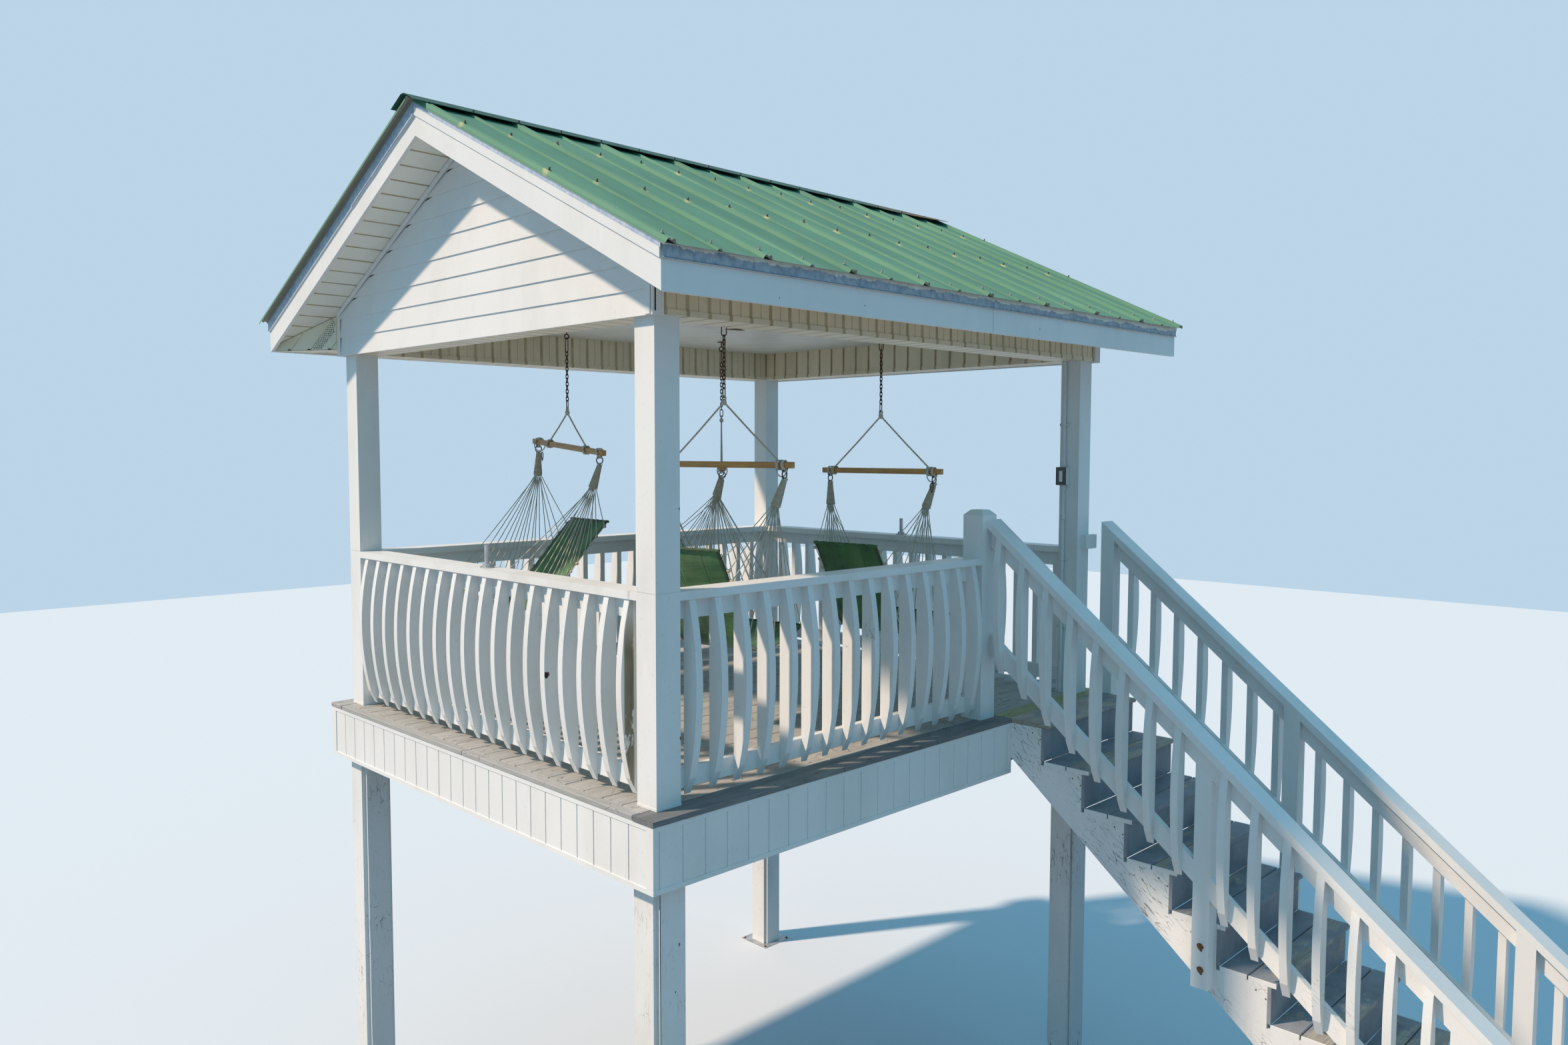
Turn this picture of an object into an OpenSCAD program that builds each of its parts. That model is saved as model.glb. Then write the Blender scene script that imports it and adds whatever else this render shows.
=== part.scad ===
/* [Stair] */
// Number of risers from the ground to the deck
risers = 12; // [11:1:13]
// Height of one riser
riser_h = 213; // [200:1:220]
// Horizontal run of one step
step_run = 263; // [250:1:280]
// Thickness of the tread boards
tread_t = 25; // [20:1:32]
// Thickness of the riser boards
riser_t = 19; // [15:1:22]
// How far a tread's nose stands before its riser
nose = 24; // [15:1:35]
// Width of one of the two boards of a tread
tread_board = 140; // [130:1:144]
// Depth of the planks that the stringers are cut from
stringer_d = 286; // [260:1:300]
// Thickness of the stringers
stringer_t = 38; // [32:1:50]
// Outer face of the left stringer, from the middle of the deck
stair_left = 783; // [700:1:850]
// Outer face of the right stringer, from the middle of the deck
stair_right = 1810; // [1750:1:1820]

/* [Posts and legs] */
// Distance over the posts along the ridge
span_x = 3546; // [3300:1:3800]
// Distance over the posts across the ridge
span_y = 3000; // [2800:1:3200]
// Width of a boxed post above the deck
post_w = 136; // [120:1:150]
// Width of the bare timber inside a leg
leg_core = 140; // [120:1:150]
// Thickness of the board on each side of a leg
leg_board = 20; // [16:1:25]
// Side of the metal plate under a leg
foot_plate = 290; // [240:1:296]
// Thickness of the metal plate under a leg
foot_plate_t = 4; // [3:1:8]

/* [Deck] */
// How far the skirt stands outside the posts
skirt_out = 95; // [80:1:110]
// Depth of the skirt below the deck boards
skirt_h = 297; // [260:1:330]
// Thickness of the skirt with its battens
skirt_t = 24; // [20:1:30]
// Spacing of the upright grooves in the skirt
skirt_groove = 129; // [110:1:150]
// Thickness of the deck boards
board_t = 25; // [20:1:32]
// Width of the deck boards
board_w = 140; // [90:1:145]
// Width of the strip that caps the boards' ends
side_strip = 50; // [35:1:140]
// Gap between deck boards
board_gap = 5; // [3:1:8]
// Depth of the joists
joist_h = 235; // [180:1:250]
// Thickness of the joists
joist_t = 38; // [35:1:50]
// Number of joists between the rims
joists = 8; // [6:1:10]

/* [Railing] */
// Height of the top of the handrail above the deck
rail_h = 944; // [880:1:1000]
// Width of the flat cap
cap_w = 136; // [120:1:136]
// Thickness of the flat cap and of every rail
rail_t = 38; // [32:1:45]
// Depth of the rails on edge
rail_d = 89; // [80:1:100]
// Underside of the bottom rail above the deck
bottom_rail_z = 58; // [45:1:80]
// Lowest point of the pickets above the deck
picket_z = 28; // [20:1:45]
// Thickness of a picket
picket_t = 38; // [32:1:42]
// Depth of a picket at its ends
picket_end = 38; // [32:1:45]
// Depth of a picket at its middle
picket_mid = 88; // [70:1:100]
// Depth of a stair picket at its middle
stair_picket_mid = 74; // [60:1:100]
// Height of the slanted foot of a picket
picket_bevel = 75; // [50:1:90]
// Pickets in the front rail
pickets_front = 15; // [13:1:16]
// Pickets in each side rail
pickets_side = 18; // [16:1:20]
// Pickets in the back rail
pickets_back = 22; // [20:1:25]
// Height of the newel at the head of the stair
newel_h = 1220; // [1150:1:1300]
// Left face of the newel from the middle of the deck
newel_x = 604; // [560:1:640]
// Side of a square stair post
stair_post = 89; // [80:1:100]

/* [Beams and ceiling] */
// Underside of the beams above the deck
beam_z = 2130; // [2050:1:2200]
// Height of the beams
beam_h = 215; // [200:1:260]
// Thickness of the boxed beams
beam_w = 186; // [160:1:200]
// Underside of the ceiling above the deck
ceiling_z = 2333; // [2280:1:2333]
// Spacing of the upright grooves in the beams
beam_groove = 124; // [110:1:140]

/* [Roof] */
// Height of the roof's peak above the deck
peak_z = 3258; // [3200:1:3300]
// Rise of the roof for one unit of run
roof_rise = 0.479; // [0.465:0.001:0.49]
// Overhang past the posts at the eaves
eave_out = 411; // [380:1:440]
// Overhang past the posts at the gables
gable_out = 291; // [260:1:320]
// Spacing of the ribs in the metal, wide and narrow ones by turns
rib_pitch = 258; // [240:1:290]
// Height of the wide ribs, where two sheets lap
rib_h = 18; // [16:1:26]
// Height of the narrow ribs between them
narrow_rib_h = 10; // [8:1:14]
// Exposed height of one course of siding
siding_course = 110; // [95:1:130]

/* [Chairs] */
// Side of the square spreader bars
bar_side = 34; // [28:1:40]
// Length of the spreader bars
bar_len = 900; // [820:1:920]
// Width of a sling seat
sling_w = 470; // [440:1:540]
// Thickness of a sling seat
sling_t = 30; // [24:1:40]
// Ropes in each fan
fan_ropes = 12; // [8:1:14]
// Wire diameter of the chain
wire = 6; // [5:0.5:7]

/* [Hidden] */

white = "#eef0ee";
cream = "#e3e0cf";
weathered = "#8f8a80";
paint_grey = "#7d858c";
roof_green = "#64967a";
dark_green = "#3f6a55";
metal = "#9aa0a2";
rusty = "#4d3a30";
honey = "#b5762c";
rope_tan = "#a79b83";
cloth_green = "#2f6b3c";

// Heights are measured from the top of the deck, and the whole is lifted at the end
deck_h = risers * riser_h;
hx = span_x / 2;
hy = span_y / 2;
px = hx - post_w / 2;
py = hy - post_w / 2;
sx = hx + skirt_out;
sy = hy + skirt_out;
rim_x = sx - skirt_t;
rim_y = sy - skirt_t;
frame_z = -board_t - joist_h;

// Steps of the stair: nose lines, riser lines and the slope of the flight
first_nose = -1839;
function nose_y(k) = first_nose - k * step_run;
function riser_back(k) = nose_y(k) + nose + riser_t;
stair_slope = riser_h / step_run;
slope_cos = cos(atan(stair_slope));
stringer_drop = stringer_d / slope_cos;
function corner_z(y) = -tread_t + (y - riser_back(0)) * stair_slope;
function stringer_under(y) = corner_z(y) - stringer_drop;

// The stair's handrail runs parallel to the noses
stair_rail_up = 890;
stair_bottom_rail_up = 110;
function nose_line(y) = (y - first_nose) * stair_slope;
rail_past = 60;
rail_end = riser_back(risers - 1) - rail_past;
stair_post_y = [-2800, -3983, -4592];
top_post_y = -rim_y - stair_post / 2;
top_post_foot = 180;
post_foot_up = 30;
rail_block_in = 92;
stair_picket_drop = 45;
stair_picket_pitch = 150;
stair_mid = (stair_left + stair_right) / 2;
rail_block_z = 935;
stair_cap_out = 136;

// Beams stand a little outside the posts on both sides
beam_over = (beam_w - post_w) / 2;
bx = hx + beam_over;
by = hy + beam_over;
beam_top = beam_z + beam_h;
trim_h = 25;
beam_margin = 130;
trim_over = 6;
siding_t = 12;
siding_z = beam_z - 6;
corner_w = 48;

// Roof lines: the peak line is the top of the fascias
fx = hx + gable_out;
fy = hy + eave_out;
function roof_z(y) = peak_z - roof_rise * abs(y);
sheath_t = 30;
skin_t = 8;
skin_over = 40;
skin_rake = 15;
fascia_t = 20;
fascia_low_z = 2158;
fascia_break_z = 2280;
band_over = 8;
hair = 0.3;
sheath_gap = 0.05;
peak_depth = 162;
soffit_t = 12;
soffit_drop = 150;
front_soffit_z = 2250;
back_soffit_z = 2170;
closure_short = 20;
rafter_d = 150;
rafters = 7;
cap_leg = 120;
cap_t = 6;
cap_past = 65;

// The origin is at the bottom centre of the whole: from the cap's end to the metal's far edge, and from
// the eave's edge at the back to the stair's foot
x_mid = (skin_rake - cap_past) / 2;
y_back = fy + skin_over + (skin_t + rib_h) * sin(atan(roof_rise));
y_front = rail_end;
y_mid = (y_back + y_front) / 2;
module place() translate([-x_mid, -y_mid, deck_h]) children();

// Side of a sling as a smooth curve of four control points, measured from the middle of the bar
sitting = [[-370, -440], [-70, -857], [-290, -1180], [455, -932]];
reclined = [[-157, -480], [100, -700], [350, -1260], [770, -860]];

// Hanging chairs: hook x and y, facing, height of the bar and of the rope's peak, spread of the V, tilt, side
chair_front_left = [-630, -660, 12, 1483, 1806, 0.40, 0, sitting];
chair_front_right = [640, -700, 5, 1435, 1738, 0.40, 0, sitting];
chair_back_left = [-630, 840, 175, 1581, 1770, 0.26, 5, reclined];
chair_back_right = [650, 800, -41, 1440, 1743, 0.40, 0, sitting];
function bar_z(c, x) = c[3] + x * tan(c[6]);
ring_in = 55;
bar_end = bar_len / 2 - ring_in;
ring_gap = 1;
function ring_z(c, s) = bar_z(c, s * bar_end) - bar_side / 2 - wrap_t - ring_gap - ring_r - ring_wire;
wire_r = wire / 2;
eye_r = 15;
eye_wire = 4;
eye_drop = 52;
eye_z = ceiling_z - eye_drop;
eye_plate_r = 28;
eye_plate_t = 5;
link_gap = 0.3;
pivot_z = eye_z - eye_r + eye_wire + wire_r + link_gap;
big_link_l = 100;
big_link_w = 38;
small_link_l = 36;
small_link_w = 21;
end_link_l = 60;
end_link_w = 26;
rope_r = 5;
v_rope_r = 6;
loop_r = 11;
knot_r = 15;
knot_up = 4;
ring_r = 22;
ring_wire = 3.5;
head_gap = 1.4;
head_l = 110;
head_in = 15;
head_r0 = 16;
head_r1 = 24;
head_aim = 0.35;
head_aim_up = 60;
fan_r = 2.5;
fan_side = 8;
fan_spread = 30;
tie_in = 12;
wrap_w = 26;
wrap_t = 5;
sling_start = 0.04;
sling_end = 0.96;

// Point and direction along a sling's side
function bezier(c, t) =
    c[0] * pow(1 - t, 3) + c[1] * 3 * t * pow(1 - t, 2) + c[2] * 3 * pow(t, 2) * (1 - t) + c[3] * pow(t, 3);
function bezier_dir(c, t) =
    let (d = (c[1] - c[0]) * pow(1 - t, 2) + (c[2] - c[1]) * 2 * t * (1 - t) + (c[3] - c[2]) * pow(t, 2))
    d / norm(d);
function hang(c, t) = bezier(c[7], t) + [0, c[3]];

// Plan of a board with upright grooves on its face, the face at y = 0 and the body behind it
module grooved_plan(len, t, pitch, margin = 40, g_w = 8, g_d = 4) {
    n = floor((len - margin) / pitch);
    start = (len - n * pitch) / 2;
    difference() {
        translate([-len / 2, 0]) square([len, t]);
        for (i = [0 : n])
            translate([-len / 2 + start + i * pitch - g_w / 2, -1]) square([g_w, g_d + 1]);
    }
}

// A bar between two points
module strut(a, b, r) {
    d = b - a;
    l = norm(d);
    translate(a)
        rotate([0, acos(d[2] / l), atan2(d[1], d[0])])
            cylinder(r = r, h = l, $fn = 24);
}

// Ring of wire in the plane of x and z
module wire_ring(r, w) rotate([90, 0, 0]) rotate_extrude($fn = 48) translate([r, 0]) circle(r = w, $fn = 20);

// Oval link standing in the plane of x and z
module link(l, w, r) {
    bend = w / 2 - r;
    side = l / 2 - w / 2;
    rotate([90, 0, 0]) {
        for (s = [-1, 1]) {
            translate([s * bend, 0, 0]) rotate([90, 0, 0])
                cylinder(r = r, h = 2 * side, center = true, $fn = 20);
            translate([0, s * side, 0])
                rotate([0, 0, s > 0 ? 0 : 180])
                    rotate_extrude(angle = 180, $fn = 48) translate([bend, 0]) circle(r = r, $fn = 20);
        }
    }
}

// Leg: a square timber with a board on each side, so that each corner is a groove
module leg(ix, iy) place() color(white)
    translate([ix * px, iy * py, -deck_h + foot_plate_t]) linear_extrude(deck_h - foot_plate_t + frame_z) {
        square(leg_core, center = true);
        square([leg_core + 2 * leg_board, post_w], center = true);
        square([post_w, leg_core + 2 * leg_board], center = true);
    }
module leg_front_left() leg(-1, -1);
module leg_front_right() leg(1, -1);
module leg_back_left() leg(-1, 1);
module leg_back_right() leg(1, 1);

// Metal plates that the legs stand on, each with its four screw holes
plate_hole = 123;
module foot_plates() place() color(metal)
    for (ix = [-1, 1], iy = [-1, 1]) translate([ix * px, iy * py, -deck_h]) difference() {
        translate([-foot_plate / 2, -foot_plate / 2, 0]) cube([foot_plate, foot_plate, foot_plate_t]);
        for (kx = [-1, 1], ky = [-1, 1])
            translate([kx * plate_hole, ky * plate_hole, -1]) cylinder(d = 7, h = foot_plate_t + 2);
    }

// Rim boards and joists under the boards, with a hair's breadth between them
module deck_frame() {
    seam = 0.5;
    inner_y = rim_y - joist_t - seam;
    place() color(weathered) translate([0, 0, frame_z]) linear_extrude(joist_h) {
        for (s = [-1, 1])
            translate([0, s * (rim_y - joist_t / 2)]) square([2 * rim_x, joist_t], center = true);
        for (i = [0 : joists + 1])
            translate([-rim_x + (2 * rim_x - joist_t) * i / (joists + 1), -inner_y])
                square([joist_t, 2 * inner_y]);
    }
}

// Boards along the ridge between a border of boards, the front border ending at the stair
module deck_boards() {
    edge = 4;
    ox = sx + edge;
    oy = sy + edge;
    inner_x = ox - side_strip - board_gap;
    inner_y = oy - board_w - board_gap;
    rows = floor((2 * inner_y + board_gap) / (board_w + board_gap));
    row_w = (2 * inner_y + board_gap) / rows - board_gap;
    place() color(weathered) translate([0, 0, -board_t]) {
        for (i = [0 : rows - 1])
            translate([-inner_x, -inner_y + i * (row_w + board_gap), 0]) cube([2 * inner_x, row_w, board_t]);
        translate([-ox, oy - board_w, 0]) cube([2 * ox, board_w, board_t]);
        translate([-ox, -oy, 0]) cube([ox + stair_left - board_gap / 2, board_w, board_t]);
        translate([stair_left + board_gap / 2, -rim_y, 0])
            cube([ox - stair_left - board_gap / 2, rim_y - inner_y - board_gap, board_t]);
        for (s = [-1, 1])
            translate([s > 0 ? inner_x + board_gap : -ox, -inner_y, 0])
                cube([side_strip, 2 * inner_y, board_t]);
    }
}

// Skirt of grooved panels with a strip along its top and bottom
module skirt_panel(len) {
    strip_h = 22;
    strip_out = 4;
    end_w = 25;
    color(white) translate([0, 0, -board_t - skirt_h]) {
        linear_extrude(skirt_h) translate([0, strip_out])
            grooved_plan(len, skirt_t - strip_out, skirt_groove);
        translate([-len / 2, 0, 0]) cube([len, skirt_t, strip_h]);
        translate([-len / 2, 0, skirt_h - strip_h]) cube([len, skirt_t, strip_h]);
        for (s = [-1, 1])
            translate([s > 0 ? len / 2 - end_w : -len / 2, 0, 0]) cube([end_w, skirt_t, skirt_h]);
    }
}
module skirt_front() place() translate([(stair_left - sx) / 2, -sy, 0]) skirt_panel(sx + stair_left);
module skirt_back() place() translate([0, sy, 0]) rotate([0, 0, 180]) skirt_panel(2 * sx);
module skirt_left() place() translate([-sx, 0, 0]) rotate([0, 0, -90]) skirt_panel(2 * rim_y);
module skirt_right() place() translate([sx, 0, 0]) rotate([0, 0, 90]) skirt_panel(2 * rim_y);

// Boxed posts from the deck to the beams, with the seam at the height of the handrail
module post(ix, iy) place() color(white) translate([ix * px, iy * py, 0]) {
    seam = 2;
    lap = 1.5;
    lap_h = 12;
    translate([-post_w / 2 - lap, -post_w / 2 - lap, 0])
        cube([post_w + 2 * lap, post_w + 2 * lap, lap_h]);
    translate([-post_w / 2, -post_w / 2, lap_h]) cube([post_w, post_w, rail_h - lap_h]);
    translate([0, 0, rail_h + seam / 2]) cube([post_w - 2 * seam, post_w - 2 * seam, seam], center = true);
    translate([-post_w / 2, -post_w / 2, rail_h + seam]) cube([post_w, post_w, beam_z - rail_h - seam]);
}
module post_front_left() post(-1, -1);
module post_front_right() post(1, -1);
module post_back_left() post(-1, 1);
module post_back_right() post(1, 1);

// Boxed beam with grooved faces and a strip along its bottom edges
module beam(len) color(cream) {
    linear_extrude(beam_h) {
        for (s = [0, 1]) mirror([0, s]) translate([0, -beam_w / 2])
            grooved_plan(len, beam_w / 2, beam_groove, beam_margin);
    }
    translate([-len / 2, -beam_w / 2, 0]) cube([len, beam_w + trim_over, trim_h]);
}
module beam_outer_strip() color(cream) translate([-bx + corner_w, -beam_w / 2 - trim_over, 0])
    cube([2 * (bx - corner_w), beam_w, trim_h]);
module long_beam() {
    beam(2 * bx);
    beam_outer_strip();
}
module beam_front() place() translate([0, -by + beam_w / 2, beam_z]) long_beam();
module beam_back() place() translate([0, by - beam_w / 2, beam_z]) rotate([0, 0, 180]) long_beam();
beam_side_len = 2 * (by - beam_w - trim_over);
module beam_left() place() translate([-bx + beam_w / 2, 0, beam_z]) rotate([0, 0, -90]) beam(beam_side_len);
module beam_right() place() translate([bx - beam_w / 2, 0, beam_z]) rotate([0, 0, 90]) beam(beam_side_len);

// Ceiling of narrow boards between the beams
module ceiling() {
    room_x = 2 * (bx - beam_w);
    room_y = 2 * (by - beam_w);
    bead = 100;
    bead_w = 4;
    bead_d = 2;
    n = floor(room_y / bead);
    place() color(white) translate([-room_x / 2, 0, 0]) rotate([90, 0, 90])
        linear_extrude(room_x) difference() {
            translate([-room_y / 2, ceiling_z]) square([room_y, beam_top - ceiling_z]);
            for (i = [1 : n - 1])
                translate([-room_y / 2 + i * room_y / n - bead_w / 2, ceiling_z - 1])
                    square([bead_w, bead_d + 1]);
        }
}

// Gable: a stud wall over the beam, clad with lapped siding down to the beam's underside
module gable_outline(low) polygon([[-by, low], [by, low], [by, roof_z(by) - sheath_t],
    [0, peak_z - sheath_t], [-by, roof_z(by) - sheath_t]]);
module gable(side) {
    wall_t = 60;
    lap = 7;
    courses = ceil((peak_z - siding_z) / siding_course);
    place() color(white) mirror([side > 0 ? 1 : 0, 0, 0]) {
        translate([-bx, 0, 0]) rotate([90, 0, 90]) linear_extrude(wall_t) gable_outline(beam_top);
        intersection() {
            translate([-bx - siding_t - 1, 0, 0]) rotate([90, 0, 90])
                linear_extrude(siding_t + 1) gable_outline(siding_z);
            translate([0, by, 0]) rotate([90, 0, 0]) linear_extrude(2 * by) polygon(concat(
                [[-bx, siding_z + courses * siding_course], [-bx, siding_z]],
                [for (i = [0 : courses - 1]) each [
                    [-bx - siding_t, siding_z + i * siding_course],
                    [-bx - siding_t + lap, siding_z + (i + 1) * siding_course]]]));
        }
        for (s = [-1, 1]) translate([-bx - siding_t, s > 0 ? by : -by - siding_t, siding_z])
            cube([siding_t + corner_w, siding_t, (s > 0 ? back_soffit_z : front_soffit_z) - siding_z]);
    }
}
module gable_left() gable(-1);
module gable_right() gable(1);

// Ridge board and rafters, hidden between the ceiling and the metal
module roof_frame() {
    ridge_d = 180;
    inset = 60;
    foot = by - 20;
    heel = foot - 330;
    place() color(weathered) {
        translate([-bx + inset, -joist_t / 2, peak_z - sheath_t - roof_rise * joist_t / 2 - ridge_d])
            cube([2 * (bx - inset), joist_t, ridge_d]);
        for (i = [0 : rafters - 1], s = [-1, 1])
            translate([-bx + inset + (2 * (bx - inset) - joist_t) * i / (rafters - 1), 0, 0])
                rotate([90, 0, 90]) linear_extrude(joist_t) polygon([
                    [s * joist_t / 2, roof_z(joist_t / 2) - sheath_t],
                    [s * joist_t / 2, roof_z(joist_t / 2) - sheath_t - rafter_d],
                    [s * heel, roof_z(heel) - sheath_t - rafter_d],
                    [s * heel, beam_top], [s * foot, beam_top], [s * foot, roof_z(foot) - sheath_t]]);
    }
}

// One slope: sheathing with the ribbed metal over it, made flat and tilted about the peak
rib_foot = 28;
rib_top = 18;
rib_fold = 4;
module lap_rib() polygon([[-rib_foot, -1], [-rib_top, rib_h], [-rib_fold, rib_h], [0, rib_h / 2],
    [rib_fold, rib_h], [rib_top, rib_h], [rib_foot, -1]]);
module narrow_rib() polygon([[-rib_foot / 2, -1], [-rib_top / 2, narrow_rib_h],
    [rib_top / 2, narrow_rib_h], [rib_foot / 2, -1]]);
module roof_slope() {
    pitch = atan(roof_rise);
    run = (fy - fascia_t) / cos(pitch);
    skin_run = (fy + skin_over) / cos(pitch);
    half = fx + skin_rake;
    edge_clear = 60;
    n = floor((half - edge_clear) / rib_pitch);
    sheath_up = sheath_t * cos(pitch) - sheath_gap;
    sheath_half = fx - fascia_t - sheath_gap;
    past_peak = 20;
    cut = 200;
    difference() {
        translate([0, 0, peak_z]) rotate([-pitch, 0, 0]) {
            translate([-sheath_half, -sheath_up * tan(pitch), -sheath_up])
                cube([2 * sheath_half, run - sheath_gap + sheath_up * tan(pitch), sheath_up]);
            translate([0, skin_run, 0]) rotate([90, 0, 0]) linear_extrude(skin_run + past_peak) {
                translate([-half, 0]) square([2 * half, skin_t]);
                for (i = [-n : n]) translate([i * rib_pitch, skin_t])
                    if (i % 2 == 0) lap_rib(); else narrow_rib();
                for (s = [-1, 1]) translate([s * (half - rib_foot), skin_t]) lap_rib();
            }
        }
        translate([-half - 1, -cut, 0]) cube([2 * half + 2, cut, peak_z + cut]);
    }
}
module roof_front() place() color(roof_green) mirror([0, 1, 0]) roof_slope();
module roof_back() place() color(roof_green) roof_slope();

// Folded cap over the ridge, resting on the wide ribs and reaching past the left rake
module ridge_cap() {
    pitch = atan(roof_rise);
    rise = (skin_t + rib_h) / cos(pitch) + hair;
    up = cap_t / cos(pitch);
    reach = cap_leg * cos(pitch);
    len = 2 * fx + cap_past;
    place() color(dark_green) translate([-fx - cap_past, 0, peak_z + rise]) rotate([90, 0, 90])
        linear_extrude(len) polygon([[0, 0], [reach, -reach * roof_rise], [reach, up - reach * roof_rise],
            [0, up], [-reach, up - reach * roof_rise], [-reach, -reach * roof_rise]]);
}

// Boards along the eaves: a lower board and a slightly prouder upper band
module eave_fascias() {
    top_z = roof_z(fy - fascia_t) - hair;
    place() color(white) for (s = [0, 1]) mirror([0, s, 0])
        translate([-fx + fascia_t, 0, 0]) rotate([90, 0, 90]) linear_extrude(2 * (fx - fascia_t)) polygon([
            [fy - fascia_t, fascia_low_z], [fy, fascia_low_z], [fy, fascia_break_z],
            [fy + band_over, fascia_break_z], [fy + band_over, roof_z(fy + band_over) - hair],
            [fy - fascia_t, top_z]]);
}

// Boards up the gables, wider at the eave than at the peak, with the same proud band
module rake_board(low_peak, low_eave, t) rotate([90, 0, 90]) linear_extrude(t) polygon([
    [0, peak_z - hair], [fy, roof_z(fy) - hair], [fy, low_eave], [0, low_peak], [-fy, low_eave],
    [-fy, roof_z(fy) - hair]]);
module rake_fascias() place() color(white) for (s = [0, 1]) mirror([s, 0, 0]) {
    band = roof_z(fy) - fascia_break_z;
    translate([-fx, 0, 0]) rake_board(peak_z - peak_depth, fascia_low_z, fascia_t);
    translate([-fx - band_over, 0, 0]) rake_board(peak_z - band, fascia_break_z, band_over);
}

// Grooved soffits: level under the eaves, sloping under the gable overhangs, and closed at the ends
function soffit_z(front) = front == 1 ? front_soffit_z : back_soffit_z;
function closure_end(front) =
    min(fy - fascia_t, (peak_z - soffit_drop - soffit_z(front)) / roof_rise - closure_short);
module soffits() {
    pitch = atan(roof_rise);
    seam = 1;
    groove_d = 4;
    eave_groove = 6;
    rake_groove = 8;
    eave_w = fy - fascia_t - by;
    lay = (fy - fascia_t) / cos(pitch) - 8;
    over = fx - fascia_t - bx - siding_t - seam;
    place() color(cream) for (s = [0, 1]) {
        mirror([0, s, 0]) translate([-bx + seam, by, soffit_z(s)]) rotate([90, 0, 90])
            linear_extrude(2 * (bx - seam)) difference() {
                square([eave_w, soffit_t]);
                for (i = [1 : 2]) translate([eave_w * i / 3 - eave_groove / 2, -1])
                    square([eave_groove, groove_d]);
            }
        for (t = [0, 1]) mirror([s, 0, 0]) mirror([0, t, 0]) {
            translate([-fx + fascia_t, 0, peak_z - soffit_drop]) rotate([-pitch, 0, 0])
                rotate([90, 0, 90]) linear_extrude(over) difference() {
                    translate([seam, 0]) square([lay - seam, soffit_t]);
                    for (i = [1 : floor(lay / beam_groove)])
                        translate([i * beam_groove - rake_groove / 2, -1])
                            square([rake_groove, groove_d + 1]);
                }
            translate([-bx - siding_t, 0, 0]) rotate([90, 0, 90]) linear_extrude(siding_t) polygon([
                [by, soffit_z(t)], [closure_end(t), soffit_z(t)],
                [closure_end(t), roof_z(closure_end(t)) - soffit_drop], [by, roof_z(by) - soffit_drop]]);
        }
    }
}

// Side of a picket: straight inside, bowed outside, its foot cut to a point; drawn to the right of x = 0
module picket_side(h, mid) {
    chord = h - picket_bevel;
    swell = mid - picket_end;
    shoulder = picket_bevel + 40;
    bow_r = (pow(chord / 2, 2) + pow(swell, 2)) / (2 * swell);
    intersection() {
        polygon([[0, 0], [picket_end, picket_bevel], [mid, shoulder], [mid, h], [0, h]]);
        translate([mid - bow_r, picket_bevel + chord / 2]) circle(r = bow_r, $fn = 180);
    }
}

// Picket standing at the origin with its inner edge at y = 0 and its bow towards -y
module picket(h, mid = picket_mid) translate([-picket_t / 2, 0, 0]) rotate([90, 0, 90])
    linear_extrude(picket_t) mirror([1, 0]) picket_side(h, mid);

// Level railing along x, its middle at the origin, the bowed side towards -y
let_in = 1;
module railing(len, n) {
    cap_low = rail_h - rail_t;
    rail_face = -23;
    picket_h = cap_low - picket_z;
    color(white) {
        translate([-len / 2, -cap_w / 2, cap_low]) cube([len, cap_w, rail_t]);
        translate([-len / 2, rail_face, cap_low - rail_d]) cube([len, rail_t, rail_d]);
        translate([-len / 2, rail_face, bottom_rail_z]) cube([len, rail_t, rail_d]);
        for (i = [0 : n - 1])
            translate([len * ((i + 0.5) / n - 0.5), rail_face + let_in, picket_z]) picket(picket_h);
    }
}
clear_x = span_x - 2 * post_w;
clear_y = span_y - 2 * post_w;
front_len = newel_x + hx - post_w;
module railing_front() place() translate([newel_x - front_len / 2, -py, 0]) railing(front_len, pickets_front);
module railing_back() place() translate([0, py, 0]) rotate([0, 0, 180]) railing(clear_x, pickets_back);
module railing_left() place() translate([-px, 0, 0]) rotate([0, 0, -90]) railing(clear_y, pickets_side);
module railing_right() place() translate([px, 0, 0]) rotate([0, 0, 90]) railing(clear_y, pickets_side);

// Newel with four slanted faces at its top
module newel() place() color(white) translate([newel_x, -hy, 0]) {
    cut = 30;
    intersection() {
        translate([0, post_w, 0]) rotate([90, 0, 0]) linear_extrude(post_w) newel_side(cut);
        rotate([90, 0, 90]) linear_extrude(post_w) newel_side(cut);
    }
}
module newel_side(cut) polygon([[0, 0], [post_w, 0], [post_w, newel_h - cut], [post_w - cut, newel_h],
    [cut, newel_h], [0, newel_h - cut]]);

// Two planks cut to a sawtooth, from the rim of the deck to the ground
module stringers() {
    last = risers - 1;
    saw = [for (k = [0 : last]) each [
        [k == 0 ? -rim_y : riser_back(k - 1), -k * riser_h - tread_t],
        [riser_back(k), -k * riser_h - tread_t]]];
    toe = riser_back(0) + (stringer_drop + tread_t - deck_h) / stair_slope;
    place() color(white) for (x = [stair_left, stair_right - stringer_t])
        translate([x, 0, 0]) rotate([90, 0, 90]) linear_extrude(stringer_t)
            polygon(concat(saw, [[riser_back(last), -deck_h], [toe, -deck_h],
                [-rim_y, stringer_under(-rim_y)]]));
}

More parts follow.
